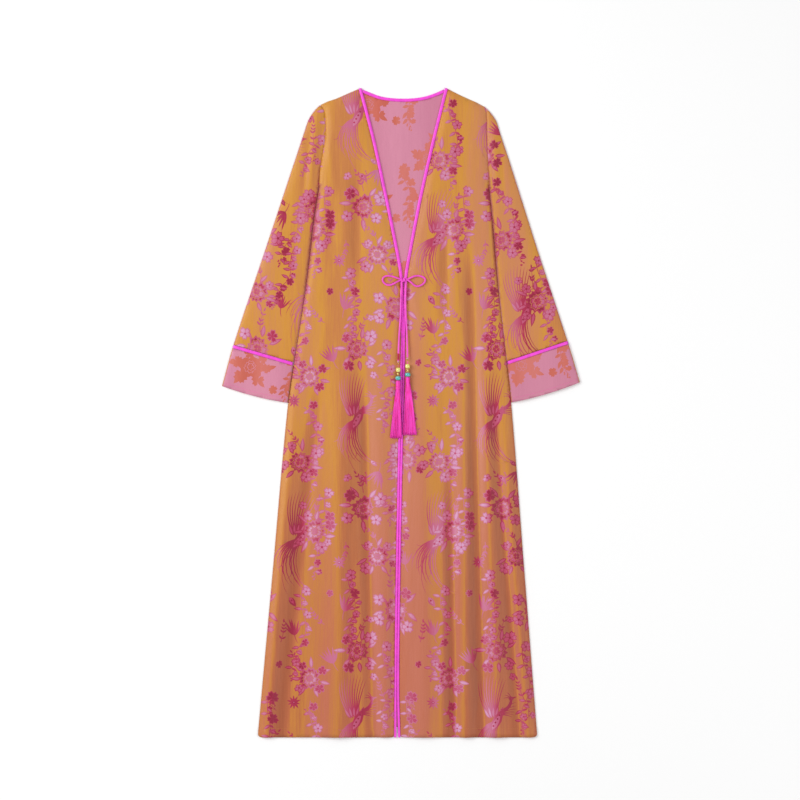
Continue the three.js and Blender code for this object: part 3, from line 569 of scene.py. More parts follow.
def motifs_over(low, high, origin, angle=0.0, repeat=FACE):
    """The motifs whose outlines may reach the box from low to high."""
    motifs, across, along = repeat
    c, s = math.cos(angle), math.sin(angle)
    corners = [((x - origin[0]) * c + (y - origin[1]) * s, -(x - origin[0]) * s + (y - origin[1]) * c)
               for x in (low[0], high[0]) for y in (low[1], high[1])]
    columns, rows = (
        range(math.floor((min(values) - reach) / step), math.ceil((max(values) + reach) / step) + 1)
        for values, reach, step in zip(zip(*corners), MOTIF_REACH, (across, along)))
    found = []
    for column in columns:
        for row in rows:
            for shapes in motifs:
                moved = turned(turned(shapes, column * across, row * along), *origin, angle)
                xs, ys = zip(*(point for outline, _ in moved for point in outline))
                if max(xs) > low[0] and min(xs) < high[0] and max(ys) > low[1] and min(ys) < high[1]:
                    found += moved
    return found


TILE = 56.0
ALONG = 1.8  # folds run along the cloth, so its points are further apart that way


def signed_area(outline):
    """Positive where an outline runs anticlockwise."""
    return sum(a[0] * b[1] - b[0] * a[1] for a, b in zip(outline, outline[1:] + outline[:1])) / 2


def inside_outline(points, starts, ends):
    """Which points lie inside the outline made of these edges."""
    lower, upper = np.minimum(starts[:, 1], ends[:, 1]), np.maximum(starts[:, 1], ends[:, 1])
    near = (lower <= points[:, 1].max()) & (upper >= points[:, 1].min())
    ax, ay = starts[near].T
    bx, by = ends[near].T
    x, y = points[:, :1], points[:, 1:]
    spans = (ay > y) != (by > y)
    rise = np.where(by == ay, 1, by - ay)
    return (spans & (x < ax + (y - ay) / rise * (bx - ax))).sum(axis=1) % 2 == 1


def lattice(low, high, pitch):
    """Points over a box and along its edges; every other row inside it is set half a step along."""
    columns = max(1, round((high[0] - low[0]) / pitch))
    rows = max(1, round((high[1] - low[1]) / (ALONG * pitch)))
    points = []
    for r in range(rows + 1):
        y = lerp(low[1], high[1], r / rows)
        shifted = r % 2 == 1 and r < rows
        places = [0, *(np.arange(columns) + 0.5), columns] if shifted else range(columns + 1)
        points += [(lerp(low[0], high[0], c / columns), y) for c in places]
    return points


def without_slivers(plan, triangles):
    """Moves the middle corner of each triangle of no area a little off the edge that it lies on."""
    least_area, nudge = 1e-5, 0.004
    plan = plan.copy()
    a, b, c = (plan[triangles[:, k]] for k in range(3))
    doubled = (b[:, 0] - a[:, 0]) * (c[:, 1] - a[:, 1]) - (b[:, 1] - a[:, 1]) * (c[:, 0] - a[:, 0])
    for row in triangles[doubled < least_area]:
        runs = [plan[row[(k + 2) % 3]] - plan[row[(k + 1) % 3]] for k in range(3)]
        sides = np.linalg.norm(runs, axis=1)
        k = int(np.argmax(sides))
        plan[row[k]] += nudge * np.array([-runs[k][1], runs[k][0]]) / sides[k]
    return plan


def cut_sheet(outline, motifs, pitch):
    """Triangles of a flat panel, with each one's share of motif thread. It is cut tile by tile."""
    outline = np.array(outline, float)
    low, high = outline.min(axis=0), outline.max(axis=0)
    columns, rows = (max(1, math.ceil(side / TILE)) for side in high - low)
    xs, ys = np.linspace(low[0], high[0], columns + 1), np.linspace(low[1], high[1], rows + 1)
    ends = np.roll(outline, -1, axis=0)
    edge_low, edge_high = np.minimum(outline, ends), np.maximum(outline, ends)
    shapes = [np.array(shape) if signed_area(shape) > 0 else np.array(shape[::-1]) for shape, _ in motifs]
    shape_low = np.array([shape.min(axis=0) for shape in shapes] or np.zeros((0, 2)))
    shape_high = np.array([shape.max(axis=0) for shape in shapes] or np.zeros((0, 2)))
    corners, shares = [], []
    for c in range(columns):
        for r in range(rows):
            start, stop = (xs[c], ys[r]), (xs[c + 1], ys[r + 1])
            points = [(start[0], start[1]), (stop[0], start[1]), (stop[0], stop[1]), (start[0], stop[1])]
            faces, tile_shares = [[0, 1, 2, 3]], [0.0]
            near = np.flatnonzero(((shape_high >= start) & (shape_low <= stop)).all(axis=1)) if shapes else []
            for i in near:
                faces.append(list(range(len(points), len(points) + len(shapes[i]))))
                points += shapes[i].tolist()
                tile_shares.append(motifs[i][1])
            cut = np.flatnonzero(((edge_high >= start) & (edge_low <= stop)).all(axis=1))
            edges = []
            for i in cut:
                edges.append((len(points), len(points) + 1))
                points += [outline[i].tolist(), ends[i].tolist()]
            points += lattice(start, stop, pitch)
            verts, _, triangles, _, _, held = delaunay_2d_cdt(
                [Vector(p) for p in points], edges, faces, 1, 1e-7)
            plan = np.array([v[:] for v in verts])
            own = [(t, tile_shares[max(owners)]) for t, owners in zip(triangles, held) if 0 in owners]
            found = plan[np.array([t for t, _ in own])]
            values = np.array([share for _, share in own])
            if len(cut) or not inside_outline(found[:1].mean(axis=1), outline, ends)[0]:
                kept = inside_outline(found.mean(axis=1), outline, ends)
                found, values = found[kept], values[kept]
            corners.append(found)
            shares.append(values)
    corners, shares = np.concatenate(corners), np.concatenate(shares)
    rounded = np.round(corners.reshape(-1, 2) * 500).astype(np.int64)  # corners 0.002 mm apart are one
    keys = rounded[:, 0] * 10 ** 7 + rounded[:, 1]
    _, first, number = np.unique(keys, return_index=True, return_inverse=True)
    plan, triangles = corners.reshape(-1, 2)[first], number.reshape(-1, 3)
    a, b, c = triangles.T
    whole = (a != b) & (b != c) & (c != a)
    return without_slivers(plan, triangles[whole]), triangles[whole], shares[whole]


def bands(x, y, seed, widths=(37, 61, 23)):
    """Slow uneven bands along the length of the cloth, from about -1 to 1."""
    rng = random.Random(seed)
    total = 0
    for width, tall in zip(widths, (310, 420, 240)):
        phase, sway = rng.uniform(0, 6), rng.uniform(0, 6)
        total = total + np.sin(x / width + 0.9 * np.sin(y / tall + sway) + phase)
    return total / 2.2


def placed(name, data):
    """A new object in the scene."""
    thing = bpy.data.objects.new(name, data)
    bpy.context.scene.collection.objects.link(thing)
    return thing


def made(name, shape, material, node=None):
    """A smooth mesh piece on the garment's one body, from points in millimetres.

    It may replace a node of the solids. The shape may end with values for each face and point.
    """
    points, faces, *values = shape
    mesh = bpy.data.meshes.new(name)
    mesh.from_pydata((np.asarray(points, float) * MM).tolist(), [], faces)
    for domain, named in zip(("FACE", "POINT"), values):
        for key, numbers in named.items():
            layer = mesh.attributes.new(key, "FLOAT", domain)
            layer.data.foreach_set("value", np.asarray(numbers, np.float32))
    mesh.polygons.foreach_set("use_smooth", np.ones(len(mesh.polygons), bool))
    mesh.materials.append(material)
    piece = placed(name, mesh)
    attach(piece, "root")
    if node:
        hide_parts(node)
    return piece


def joined(shapes):
    """Several shapes as one, with their values for each face and point where they have some."""
    points, faces, values, count = [], [], ({}, {}), 0
    for shape_points, shape_faces, *shape_values in shapes:
        points.append(shape_points)
        faces += [tuple(i + count for i in face) for face in shape_faces]
        count += len(shape_points)
        for kept, own in zip(values, shape_values):
            for key, numbers in own.items():
                kept.setdefault(key, []).append(numbers)
    per_face, per_point = ({key: np.concatenate(parts) for key, parts in kept.items()} for kept in values)
    return np.concatenate(points), faces, per_face, per_point


def walked(points):
    """How far each point lies along the line through them."""
    steps = np.linalg.norm(np.diff(np.asarray(points, float), axis=0), axis=1)
    return np.concatenate([[0], np.cumsum(steps)])


def border(plan, triangles, first):
    """The vertices of a sheet's edge in order, from the one nearest to a point."""
    edges = np.concatenate([triangles[:, [0, 1]], triangles[:, [1, 2]], triangles[:, [2, 0]]])
    count = len(plan)
    alone = ~np.isin(edges[:, 1] * count + edges[:, 0], edges[:, 0] * count + edges[:, 1])
    after = dict(edges[alone].tolist())
    rim = np.array(list(after))
    start = int(rim[np.argmin(((plan[rim] - first) ** 2).sum(axis=1))])
    loop = [start]
    while after[loop[-1]] != start and len(loop) <= len(rim):
        loop.append(after[loop[-1]])
    return loop


def zipped(plan_a, loop_a, plan_b, loop_b):
    """Triangles between two sheets' edges; both run round the same outline."""
    runs = walked(plan_a[loop_a + loop_a[:1]]), walked(plan_b[loop_b + loop_b[:1]])
    at_a, at_b = (run / run[-1] for run in runs)
    i = j = 0
    faces = []
    offset = len(plan_a)
    while i < len(loop_a) or j < len(loop_b):
        a, b = loop_a[i % len(loop_a)], loop_b[j % len(loop_b)] + offset
        if j == len(loop_b) or (i < len(loop_a) and at_a[i + 1] <= at_b[j + 1]):
            i += 1
            faces.append((loop_a[i % len(loop_a)], a, b))
        else:
            j += 1
            faces.append((a, b, loop_b[j % len(loop_b)] + offset))
    return faces


def thin_shell(outline, cuts, heights_of, values_of, up=True, turned_out=False):
    """A closed sheet between two cuts of one outline, as made() takes it.

    The first cut is its outer side, which faces up or down. Each cut is (plan, triangles, tones).
    The cloth's reverse is on the inner side, or on the outer one where the cloth is turned out.
    """
    points = [np.column_stack([plan, height(plan[:, 0], plan[:, 1])])
              for (plan, _, _), height in zip(cuts, heights_of)]
    values = [values_of(plan[:, 0], plan[:, 1]) for plan, _, _ in cuts]
    outer, inner = cuts
    loops = [border(plan, triangles, np.array(outline[0])) for plan, triangles, _ in cuts]
    rim = np.array(zipped(outer[0], loops[0], inner[0], loops[1]))
    faces = np.concatenate([outer[1], inner[1][:, ::-1] + len(outer[0]), rim])
    if not up:
        faces = faces[:, ::-1]
    tone = np.concatenate([outer[2], inner[2], np.zeros(len(rim))])
    inside = np.concatenate([np.zeros(len(outer[1])), np.ones(len(inner[1])), np.zeros(len(rim))])
    return (np.concatenate(points), faces.tolist(), {"motif": tone, "reverse": np.abs(turned_out - inside)},
            {key: np.concatenate([v[key] for v in values]) for key in values[0]})


def shot(height, x, y, seed):
    """Colours painted from how folds turn the cloth to the light, a painted sheen of the shot silk, with
    painted shade in the troughs of the folds: turn for the ground's colour, warp for the motifs'.
    """
    near, far = 8.0, 13.0
    # Painted sheen: the slope of the folds sets the colour, as the light would show it on shot silk.
    slope = (height(x + near, y) - height(x - near, y)) / (2 * near)
    wide = (height(x + far, y) - height(x - far, y)) / (2 * far)
    # Painted shade: the troughs of the folds push both colours to their darker ends.
    trough_shade = np.clip(-height(x, y) / 4, 0, 1)
    turn = 0.5 + 0.5 * np.tanh(2.0 * slope + 0.5 * bands(x, y, seed) - 1.2 * trough_shade)
    warp = 0.5 + 0.5 * np.tanh(0.3 + 4.5 * wide + 1.1 * bands(x, y, seed + 1, (31, 57, 11)) - 1.4 * trough_shade)
    return {"turn": turn, "warp": warp, "low": smooth((260 - y) / 800)}


def seam_shadowed(values, off, y, reach):
    """Paints shadow on the cloth beside the seam between sleeve and body, most of all under the arm."""
    strength = smooth((560 - y) / 70) * lerp(0.35, 1, smooth((y - 180) / 170))
    shade = 1 - 0.85 * strength * np.exp(-(off / reach) ** 2)
    deepest = 0.8 * strength * np.exp(-(off / (0.5 * reach)) ** 2)
    return {**values, "turn": values["turn"] * shade, "warp": values["warp"] * shade, "tuck": deepest}


GRID = 5.0
THIN = 0.7
OFF_FLOOR = 0.05
SHOULDER_TIP = 664  # y of the higher one
UNDER_LEAST = 16.0  # the back's underside has no smaller motifs


def along_line(points, pitch):
    """The points of a line, with more between them so that none are further apart than pitch."""
    found = []
    for a, b in zip(points, points[1:]):
        count = max(1, math.ceil(math.dist(a, b) / pitch))
        found += [(lerp(a[0], b[0], i / count), lerp(a[1], b[1], i / count)) for i in range(count)]
    return found + [points[-1]]


def heights(top, bottom, pitch):
    return list(np.linspace(top, bottom, max(2, math.ceil(abs(top - bottom) / pitch) + 1)))


def front_outline(side):
    tip, neck = SHOULDER[side][0], SHOULDER[side][-1]
    front = [(float(front_edge(side, y)), y) for y in heights(neck[1], HEM_Y, GRID)]
    seam = [(float(body_side(side, y)), y) for y in heights(HEM_Y, tip[1], GRID)]
    hem = along_line([front[-1], seam[0]], GRID)[1:-1]
    shoulder = along_line(list(SHOULDER[side]), GRID)[1:-1]
    return front + hem + seam + shoulder


def drawn_down(off):
    """How far a seam draws the cloth down at some distance from it."""
    return 1.25 * np.clip(1 - off / 3.5, 0, 1) ** 2


def front_height(side, x, y):
    """The top of a front panel, drawn down to the back where it is sewn to it."""
    to_side, to_armhole, _, to_shoulder = edge_distances(side, x, y)
    near = np.minimum(np.minimum(np.where(y < ARMHOLE_Y, to_side, FAR), to_armhole), to_shoulder)
    hem = 0.5 * smooth((HEM_Y + HEM_DEPTH + 1 - y) / 2) - 0.5 * np.clip(1 - (y - HEM_Y) / 2, 0, 1) ** 2
    return LAID + CLOTH + front_lift(side, x, y, True) + hem - drawn_down(near)


def rounded_hem(outline, side):
    """Draws the corners of the hem in a little."""
    x_side, x_front = float(body_side(side, HEM_Y)), float(front_edge(side, HEM_Y))
    moved = []
    for x, y in outline:
        for corner, radius in ((x_side, 9), (x_front, 5)):
            a, b = abs(x - corner), y - HEM_Y
            if a < radius and b < radius:
                off = max(0.0, math.hypot(radius - a, radius - b) - radius)
                pull = off / max(math.hypot(radius - a, radius - b), 1e-6)
                x += (1 if x_front > x_side else -1) * (radius - a) * pull * (1 if corner == x_side else -1)
                y += (radius - b) * pull
        moved.append((x, y))
    return moved


def body_creased(x, y):
    return fold_sum(BODY_FOLDS, x, y) + fold_sum(BODY_CREASES, x, y)


def front_piece(side):
    outline = rounded_hem(front_outline(side), side)
    woven = cut_sheet(outline, motifs_over((-320, -710), (310, 710), (-99, 640)), GRID)
    seed = 3 if side == "right" else 8
    shape = thin_shell(
        outline, (woven, cut_sheet(outline, [], GRID)),
        (lambda x, y: front_height(side, x, y), lambda x, y: front_height(side, x, y) - THIN),
        lambda x, y: seam_shadowed(shot(body_creased, x, y, seed), edge_distances(side, x, y)[0], y, 6))
    return made(f"cloth_front_{side}", shape, BROCADE, f"front_{side}"), outline


def back_neckline():
    points = [np.array(p, float) for p in BACK_NECK]
    off = BINDING_NECK / 2 + SEAM
    found = []
    for i, p in enumerate(points):
        way = points[min(i + 1, len(points) - 1)] - points[max(i - 1, 0)]
        way /= np.linalg.norm(way)
        found.append((p[0] + way[1] * off, p[1] - way[0] * off))
    return found


def back_outline():
    top = list(SHOULDER["right"]) + back_neckline() + list(SHOULDER["left"])[::-1]
    low = HEM_Y + BACK_HEM_SIDE
    left = [(float(body_side("left", y)), y) for y in heights(top[-1][1], low, GRID)]
    right = [(float(body_side("right", y)), y) for y in heights(low, top[0][1], GRID)]
    us = np.linspace(0, 1, 70)[1:-1]
    rises = lerp(BACK_HEM_MIDDLE, BACK_HEM_SIDE, (2 * us - 1) ** 2)
    hem = list(zip(lerp(left[-1][0], right[0][0], us).tolist(), (HEM_Y + rises).tolist()))
    return along_line(top, GRID)[1:-1] + left + hem + right


def back_height(x, y):
    """The back's inner side: nearly flat, with low soft creases clear of the edges."""
    to_side = np.minimum(x - body_side("right", np.minimum(y, SHOULDER_TIP)),
                         body_side("left", np.minimum(y, SHOULDER_TIP - 5)) - x)
    neck = np.interp(x, [p[0] for p in BACK_NECK], [p[1] for p in BACK_NECK]) - y
    fall = smooth(to_side / 30) * smooth((neck - 4) / 24) * smooth((y - HEM_Y - 20) / 30)
    return THIN + OFF_FLOOR + fall * (0.25 + np.maximum(fold_sum(BACK_CREASES, x, y), 0))


def back_piece():
    """The back: its face is below, and its reverse shows above it, in the neckline."""
    outline = back_outline()
    shown = motifs_over((-110, 240), (120, 700), (-68, 664), 0.0, REVERSE)
    below = motifs_over((-320, -710), (310, 710), (-120, 560))
    plain = [(shape, tone) for shape, tone in below if tone == FULL and abs(signed_area(shape)) > UNDER_LEAST]
    shape = thin_shell(
        outline, (cut_sheet(outline, plain, 2 * GRID), cut_sheet(outline, shown, GRID)),
        (lambda x, y: np.full_like(x, OFF_FLOOR), back_height),
        lambda x, y: shot(lambda px, py: 3 * fold_sum(BACK_CREASES, px, py), x, y, 21), up=False)
    return made("cloth_back", shape, BROCADE, "back"), outline


class Arm:
    """A stretch of one flat sleeve, from a row at its head to a row towards the hand."""

    def __init__(self, side, start, end, cloth=CLOTH, bulge=0):
        self.side, self.start, self.end, self.cloth, self.bulge = side, start, end, cloth, bulge
        self.head = start is None

    def inner(self, y):
        return float(arm_inner(self.side, y))

    def outer(self, y):
        return float(at(ARM_EDGE, COLUMN[self.side], y))

    def hand(self, u):
        """A point of the edge towards the hand, from beside the body to the outer edge."""
        x = lerp(self.inner(self.end[0]), self.outer(self.end[1]), u)
        return x, lerp(self.end[0], self.end[1], u) - 4 * self.bulge * u * (1 - u)

    def outline(self):
        if self.head:
            tip = SHOULDER[self.side][0][1] - 1.2
            while INWARDS[self.side] * (self.inner(tip) - self.outer(tip)) < 1.2:
                tip -= 0.2
            inner_top, outer_top, top = tip, tip, []
        else:
            inner_top, outer_top = self.start
            ends = [(self.outer(outer_top), outer_top), (self.inner(inner_top), inner_top)]
            top = along_line(ends, GRID)[1:-1]
        inner = [(self.inner(y), y) for y in heights(inner_top, self.end[0], GRID)]
        outer = [(self.outer(y), y) for y in heights(self.end[1], outer_top, GRID)]
        return inner + [self.hand(u) for u in np.linspace(0, 1, 32)[1:-1]] + outer + top

    def distances(self, x, y):
        slant = 0.95
        inner = np.abs(x - arm_inner(self.side, np.minimum(y, SHOULDER_TIP - 1)))
        return inner, np.abs(at(ARM_EDGE, COLUMN[self.side], y) - x) * slant

    def top(self, x, y):
        inner, outer = self.distances(x, y)
        raised = SLEEVE_LOFT + fold_sum(ARM_FOLDS, x, y) + fold_sum(ARM_CREASES, x, y)
        return 2 * self.cloth + SEAM + smooth(inner / EDGE_FALL) * smooth(outer / EDGE_FALL) * lift(raised)

    def layer(self, number, x, y):
        """The height of the upper or lower layer's outer side; they meet in a round fold."""
        inner, outer = self.distances(x, y)
        fold_radius = 2.2
        sewn_on = (y > ARMHOLE_Y) & self.head
        near = np.where(sewn_on, outer, np.minimum(inner, outer))
        round_off = np.sqrt(np.clip(1 - (1 - np.clip(near / fold_radius, 0, 1)) ** 2, 0, 1))
        middle = self.cloth + SEAM / 2
        if number:
            return lerp(middle, OFF_FLOOR, round_off)
        return lerp(middle, self.top(x, y), round_off) - drawn_down(inner) * sewn_on

    def build(self, origin, angle, seed, turned_out):
        """Both layers, each closed, with motifs on their outer sides."""
        outline = self.outline()
        low, high = np.min(outline, axis=0), np.max(outline, axis=0)
        coarse = cut_sheet(outline, [], GRID)
        parts = []
        for number in (0, 1):
            motifs = motifs_over(low, high, (origin[0] + 130 * number, origin[1] + 210 * number), angle,
                                 REVERSE if turned_out else FACE)
            if number == 1:
                motifs = [(shape, tone) for shape, tone in motifs if tone == FULL]
            inwards = (THIN if self.head else 2 * THIN - 0.1) * (1 - 2 * number)
            parts.append(thin_shell(
                outline, (cut_sheet(outline, motifs, GRID), coarse),
                (lambda x, y: self.layer(number, x, y), lambda x, y: self.layer(number, x, y) - inwards),
                lambda x, y: seam_shadowed(shot(arm_creased, x, y, seed), self.distances(x, y)[0], y, 4.5),
                number == 0, turned_out))
        return joined(parts), outline


def arm_creased(x, y):
    return 0.9 * (fold_sum(ARM_FOLDS, x, y) + fold_sum(ARM_CREASES, x, y))


def sleeve_arm(side):
    return Arm(side, None, [y + PIPING_WIDTH / 2 + SEAM for y in PIPED_SEAM[side]])


def cuff_arm(side):
    below = [y - (PIPING_WIDTH / 2 + SEAM) for y in PIPED_SEAM[side]]
    return Arm(side, below, CUFF_EDGE[side], CUFF_CLOTH, CUFF_BULGE)


def sleeve_piece(side):
    start, seed = ((-262, 560), 31) if side == "right" else ((300, 500), 35)
    shape, outline = sleeve_arm(side).build(start, -0.32 * INWARDS[side], seed, 0)
    return made(f"cloth_sleeve_{side}", shape, BROCADE, f"sleeve_{side}"), outline


def cuff_piece(side):
    start, seed = ((-322, 98), 41) if side == "right" else ((262, 104), 45)
    shape, outline = cuff_arm(side).build(start, -0.28 * INWARDS[side], seed, 1)
    return made(f"cloth_cuff_{side}", shape, BROCADE, f"cuff_{side}"), outline


def unit(v):
    return v / max(np.linalg.norm(v), 1e-9)


def frames(path):
    """The way, the side and the up of each point of a path that never climbs straight up."""
    path = np.asarray(path, float)
    found = []
    for i in range(len(path)):
        way = unit(path[min(i + 1, len(path) - 1)] - path[max(i - 1, 0)])
        across = unit(np.cross(way, (0, 0, 1)))
        found.append((way, across, np.cross(across, way)))
    return found


def skin(rings, closed=False):
    """The points and faces of a skin through rings of equal size, with its ends closed."""
    size, count = len(rings[0]), len(rings)
    faces = []
    for r in range(count if closed else count - 1):
        a, b = r * size, (r + 1) % count * size
        for i in range(size):
            j = (i + 1) % size
            faces.append((a + i, b + i, b + j, a + j))
    if not closed:
        faces += [tuple(range(size)), tuple(reversed(range((count - 1) * size, count * size)))]
    return np.concatenate([np.asarray(ring, float) for ring in rings]), faces


def swept(path, section):
    """A skin along a path; section(i) gives the (across, up) pairs of its ring there."""
    return skin([[p + across * a + up * b for a, b in section(i)]
                 for i, (p, (_, across, up)) in enumerate(zip(np.asarray(path, float), frames(path)))])


def spline(points, count):
    """A smooth curve through points, at even steps."""
    p = np.asarray(points, float)
    p = np.vstack([2 * p[0] - p[1], p, 2 * p[-1] - p[-2]])
    fine = []
    for i in range(1, len(p) - 2):
        for t in np.linspace(0, 1, 12, endpoint=False):
            a, b, c, d = p[i - 1:i + 3]
            fine.append(0.5 * (2 * b + (c - a) * t + (2 * a - 5 * b + 4 * c - d) * t * t
                               + (3 * b - a - 3 * c + d) * t ** 3))
    fine = np.array(fine + [p[-2]])
    run = walked(fine)
    steps = np.linspace(0, run[-1], count)
    return np.column_stack([np.interp(steps, run, fine[:, k]) for k in range(3)])


# Finishes of cloth, thread and beads.
def colour(red, green, blue):
    """A linear colour from one as seen on a screen, 0 to 255."""
    linear = [c / 12.92 if c <= 0.04045 else ((c + 0.055) / 1.055) ** 2.4
              for c in (red / 255, green / 255, blue / 255)]
    return (*linear, 1)


class Finish:
    """A material whose colour and bump are worked out by nodes."""

    def __init__(self, name, **sockets):
        self.material = bpy.data.materials.new(name)
        self.material.use_nodes = True
        self.tree = self.material.node_tree
        self.shader = self.tree.nodes["Principled BSDF"]
        for socket, value in sockets.items():
            self.shader.inputs[socket.replace("_", " ")].default_value = value

    def add(self, kind, inputs=None, **settings):
        node = self.tree.nodes.new(kind)
        for key, value in settings.items():
            setattr(node, key, value)
        for key, value in (inputs or {}).items():
            if isinstance(value, bpy.types.NodeSocket):
                self.tree.links.new(value, node.inputs[key])
            else:
                node.inputs[key].default_value = value
        return node

    def attribute(self, name):
        return self.add("ShaderNodeAttribute", attribute_name=name).outputs["Fac"]

    def noise(self, scale, stretch=(1, 1, 1), detail=3.0, roughness=0.6):
        place = self.add("ShaderNodeTexCoord").outputs["Object"]
        moved = self.add("ShaderNodeMapping", {"Vector": place, "Scale": stretch}).outputs["Vector"]
        inputs = {"Vector": moved, "Scale": scale, "Detail": detail, "Roughness": roughness}
        return self.add("ShaderNodeTexNoise", inputs).outputs["Fac"]

    def ribs(self, pitch, direction):
        """Even ribs of that pitch in metres, from 0 to 1."""
        place = self.add("ShaderNodeTexCoord").outputs["Object"]
        wave = {"Vector": place, "Scale": math.pi / (10 * pitch), "Distortion": 0.6, "Detail": 1.0,
                "Detail Scale": 0.4}
        return self.add("ShaderNodeTexWave", wave, bands_direction=direction).outputs["Fac"]

    def math(self, operation, a, b):
        return self.add("ShaderNodeMath", {0: a, 1: b}, operation=operation).outputs["Value"]

    def plus(self, a, b):
        return self.math("ADD", a, b)

    def minus(self, a, b):
        return self.math("SUBTRACT", a, b)

    def times(self, a, b):
        return self.math("MULTIPLY", a, b)

    def near(self, value, tone):
        """1 where a value is the tone, or close to it."""
        inputs = {0: value, 1: tone, 2: TONE_STEP}
        return self.add("ShaderNodeMath", inputs, operation="COMPARE").outputs["Value"]

    def ramp(self, factor, stops):
        node = self.add("ShaderNodeValToRGB", {"Fac": factor})
        while len(node.color_ramp.elements) < len(stops):
            node.color_ramp.elements.new(0.5)
        for element, (place, shade) in zip(node.color_ramp.elements, stops):
            element.position = place
            element.color = colour(*shade)
        return node.outputs["Color"]

    def mix(self, factor, a, b):
        return self.add("ShaderNodeMix", {0: factor, 6: a, 7: b}, data_type="RGBA").outputs[2]

    def paint(self, socket):
        self.tree.links.new(socket, self.shader.inputs["Base Color"])

    def bump(self, height, distance, strength, **under):
        """Bumps the surface, over the normal of another bump where one is given."""
        inputs = {"Height": height, "Distance": distance, "Strength": strength, **under}
        normal = self.add("ShaderNodeBump", inputs).outputs["Normal"]
        self.tree.links.new(normal, self.shader.inputs["Normal"])
        return normal


# Screen colours of the shot cloth as it turns from the light to it, on both sides: a painted sheen,
# whose darker ends also hold the painted shade of troughs and seams. Its ground is deeper towards the hem.
GROUND = (
    (0.0, (176, 104, 58)), (0.3, (200, 128, 66)), (0.46, (212, 148, 52)), (0.68, (205, 133, 86)),
    (1.0, (211, 140, 104)))
LOW_GROUND = (
    (0.0, (162, 88, 54)), (0.3, (186, 105, 64)), (0.46, (202, 130, 56)), (0.68, (194, 111, 80)),
    (1.0, (202, 120, 98)))
MOTIF = (
    (0.0, (150, 24, 58)), (0.22, (180, 44, 82)), (0.48, (196, 92, 126)), (0.74, (204, 118, 150)),
    (1.0, (217, 158, 194)))
REVERSE_GROUND = ((0.0, (196, 118, 146)), (1.0, (222, 148, 172)))
REVERSE_MOTIF = ((0.0, (192, 92, 74)), (0.6, (206, 106, 88)), (1.0, (214, 122, 112)))
# Painted shade colour: the shadow beside the sleeve seams, and the shade between the ribs of the weave.
PAINTED_SHADE = (146, 34, 50)
TONE_STEP = 0.05  # tones that are nearer than this count as one


def brocade_finish(name):
    """The shot cloth on both sides: its tones with their painted sheen and shade, the ribs of its weave with
    painted shade between them, and the painted shadow beside the seams.
    """
    cloth = Finish(name, Roughness=0.44, Sheen_Weight=0.25, Sheen_Roughness=0.4, Specular_IOR_Level=0.35)
    slubs = cloth.minus(cloth.noise(150, (2.6, 0.12, 1), 4, 0.6), 0.5)
    turn = cloth.plus(cloth.attribute("turn"), cloth.times(slubs, 0.35))
    warp = cloth.plus(cloth.attribute("warp"), cloth.times(slubs, 0.25))
    motif = cloth.attribute("motif")
    woven = cloth.math("GREATER_THAN", motif, 0.2)
    tone = cloth.minus(cloth.times(cloth.near(motif, PALE), 0.26), cloth.times(cloth.near(motif, DEEP), 0.3))
    ground = cloth.mix(cloth.attribute("low"), cloth.ramp(turn, GROUND), cloth.ramp(turn, LOW_GROUND))
    face = cloth.mix(woven, ground, cloth.ramp(cloth.plus(cloth.times(warp, 0.78), tone), MOTIF))
    reverse = cloth.mix(woven, cloth.ramp(turn, REVERSE_GROUND), cloth.ramp(warp, REVERSE_MOTIF))
    both = cloth.mix(cloth.attribute("reverse"), face, reverse)
    twill, floats = cloth.ribs(0.0011, "DIAGONAL"), cloth.ribs(0.0013, "Y")
    threads = cloth.plus(cloth.times(twill, cloth.minus(1.0, woven)), cloth.times(floats, woven))
    # Painted shade: the cloth is darkened between the ribs of its weave.
    shaded = cloth.mix(cloth.times(cloth.minus(1.0, threads), 0.16), both, colour(*PAINTED_SHADE))
    # Painted shadow beside the seam between sleeve and body.
    cloth.paint(cloth.mix(cloth.attribute("tuck"), shaded, colour(*PAINTED_SHADE)))
    crumple = cloth.bump(cloth.noise(70, (1, 0.45, 1), 4, 0.55), 0.0016, 0.55)
    cloth.bump(cloth.plus(threads, cloth.times(woven, 0.8)), 0.00015, 0.5, Normal=crumple)
    return cloth.material


def satin_finish(name, shade, roughness, ribs):
    satin = Finish(name, Roughness=roughness, Sheen_Weight=0.35, Sheen_Roughness=0.3,
                   Sheen_Tint=colour(*shade), Specular_IOR_Level=0.45)
    dark = tuple(c * 0.9 for c in shade)
    satin.paint(satin.ramp(satin.noise(90), ((0.3, dark), (0.7, shade))))
    satin.bump(satin.noise(ribs, (1, 0.4, 1), 3, 0.5), 0.0005, 0.4)
    return satin.material


def thread_finish(name, dark, light):
    """Silky strands side by side, with streaks along them."""
    thread = Finish(name, Roughness=0.6, Sheen_Weight=0.9, Sheen_Roughness=0.3, Sheen_Tint=colour(*light))
    thread.paint(thread.ramp(thread.noise(620, (1, 0.035, 0.5), 2, 0.5), ((0.36, dark), (0.56, light))))
    thread.bump(thread.noise(900, (1, 0.2, 1), 2, 0.5), 0.0004, 0.3)
    return thread.material


def glass_finish(name, low, high, scale, roughness=0.12, transmission=0.0):
    glass = Finish(name, Roughness=roughness, Coat_Weight=0.6, Coat_Roughness=0.06,
                   Transmission_Weight=transmission, Specular_IOR_Level=0.5)
    glass.paint(glass.ramp(glass.noise(scale), ((0.35, low), (0.65, high))))
    return glass.material


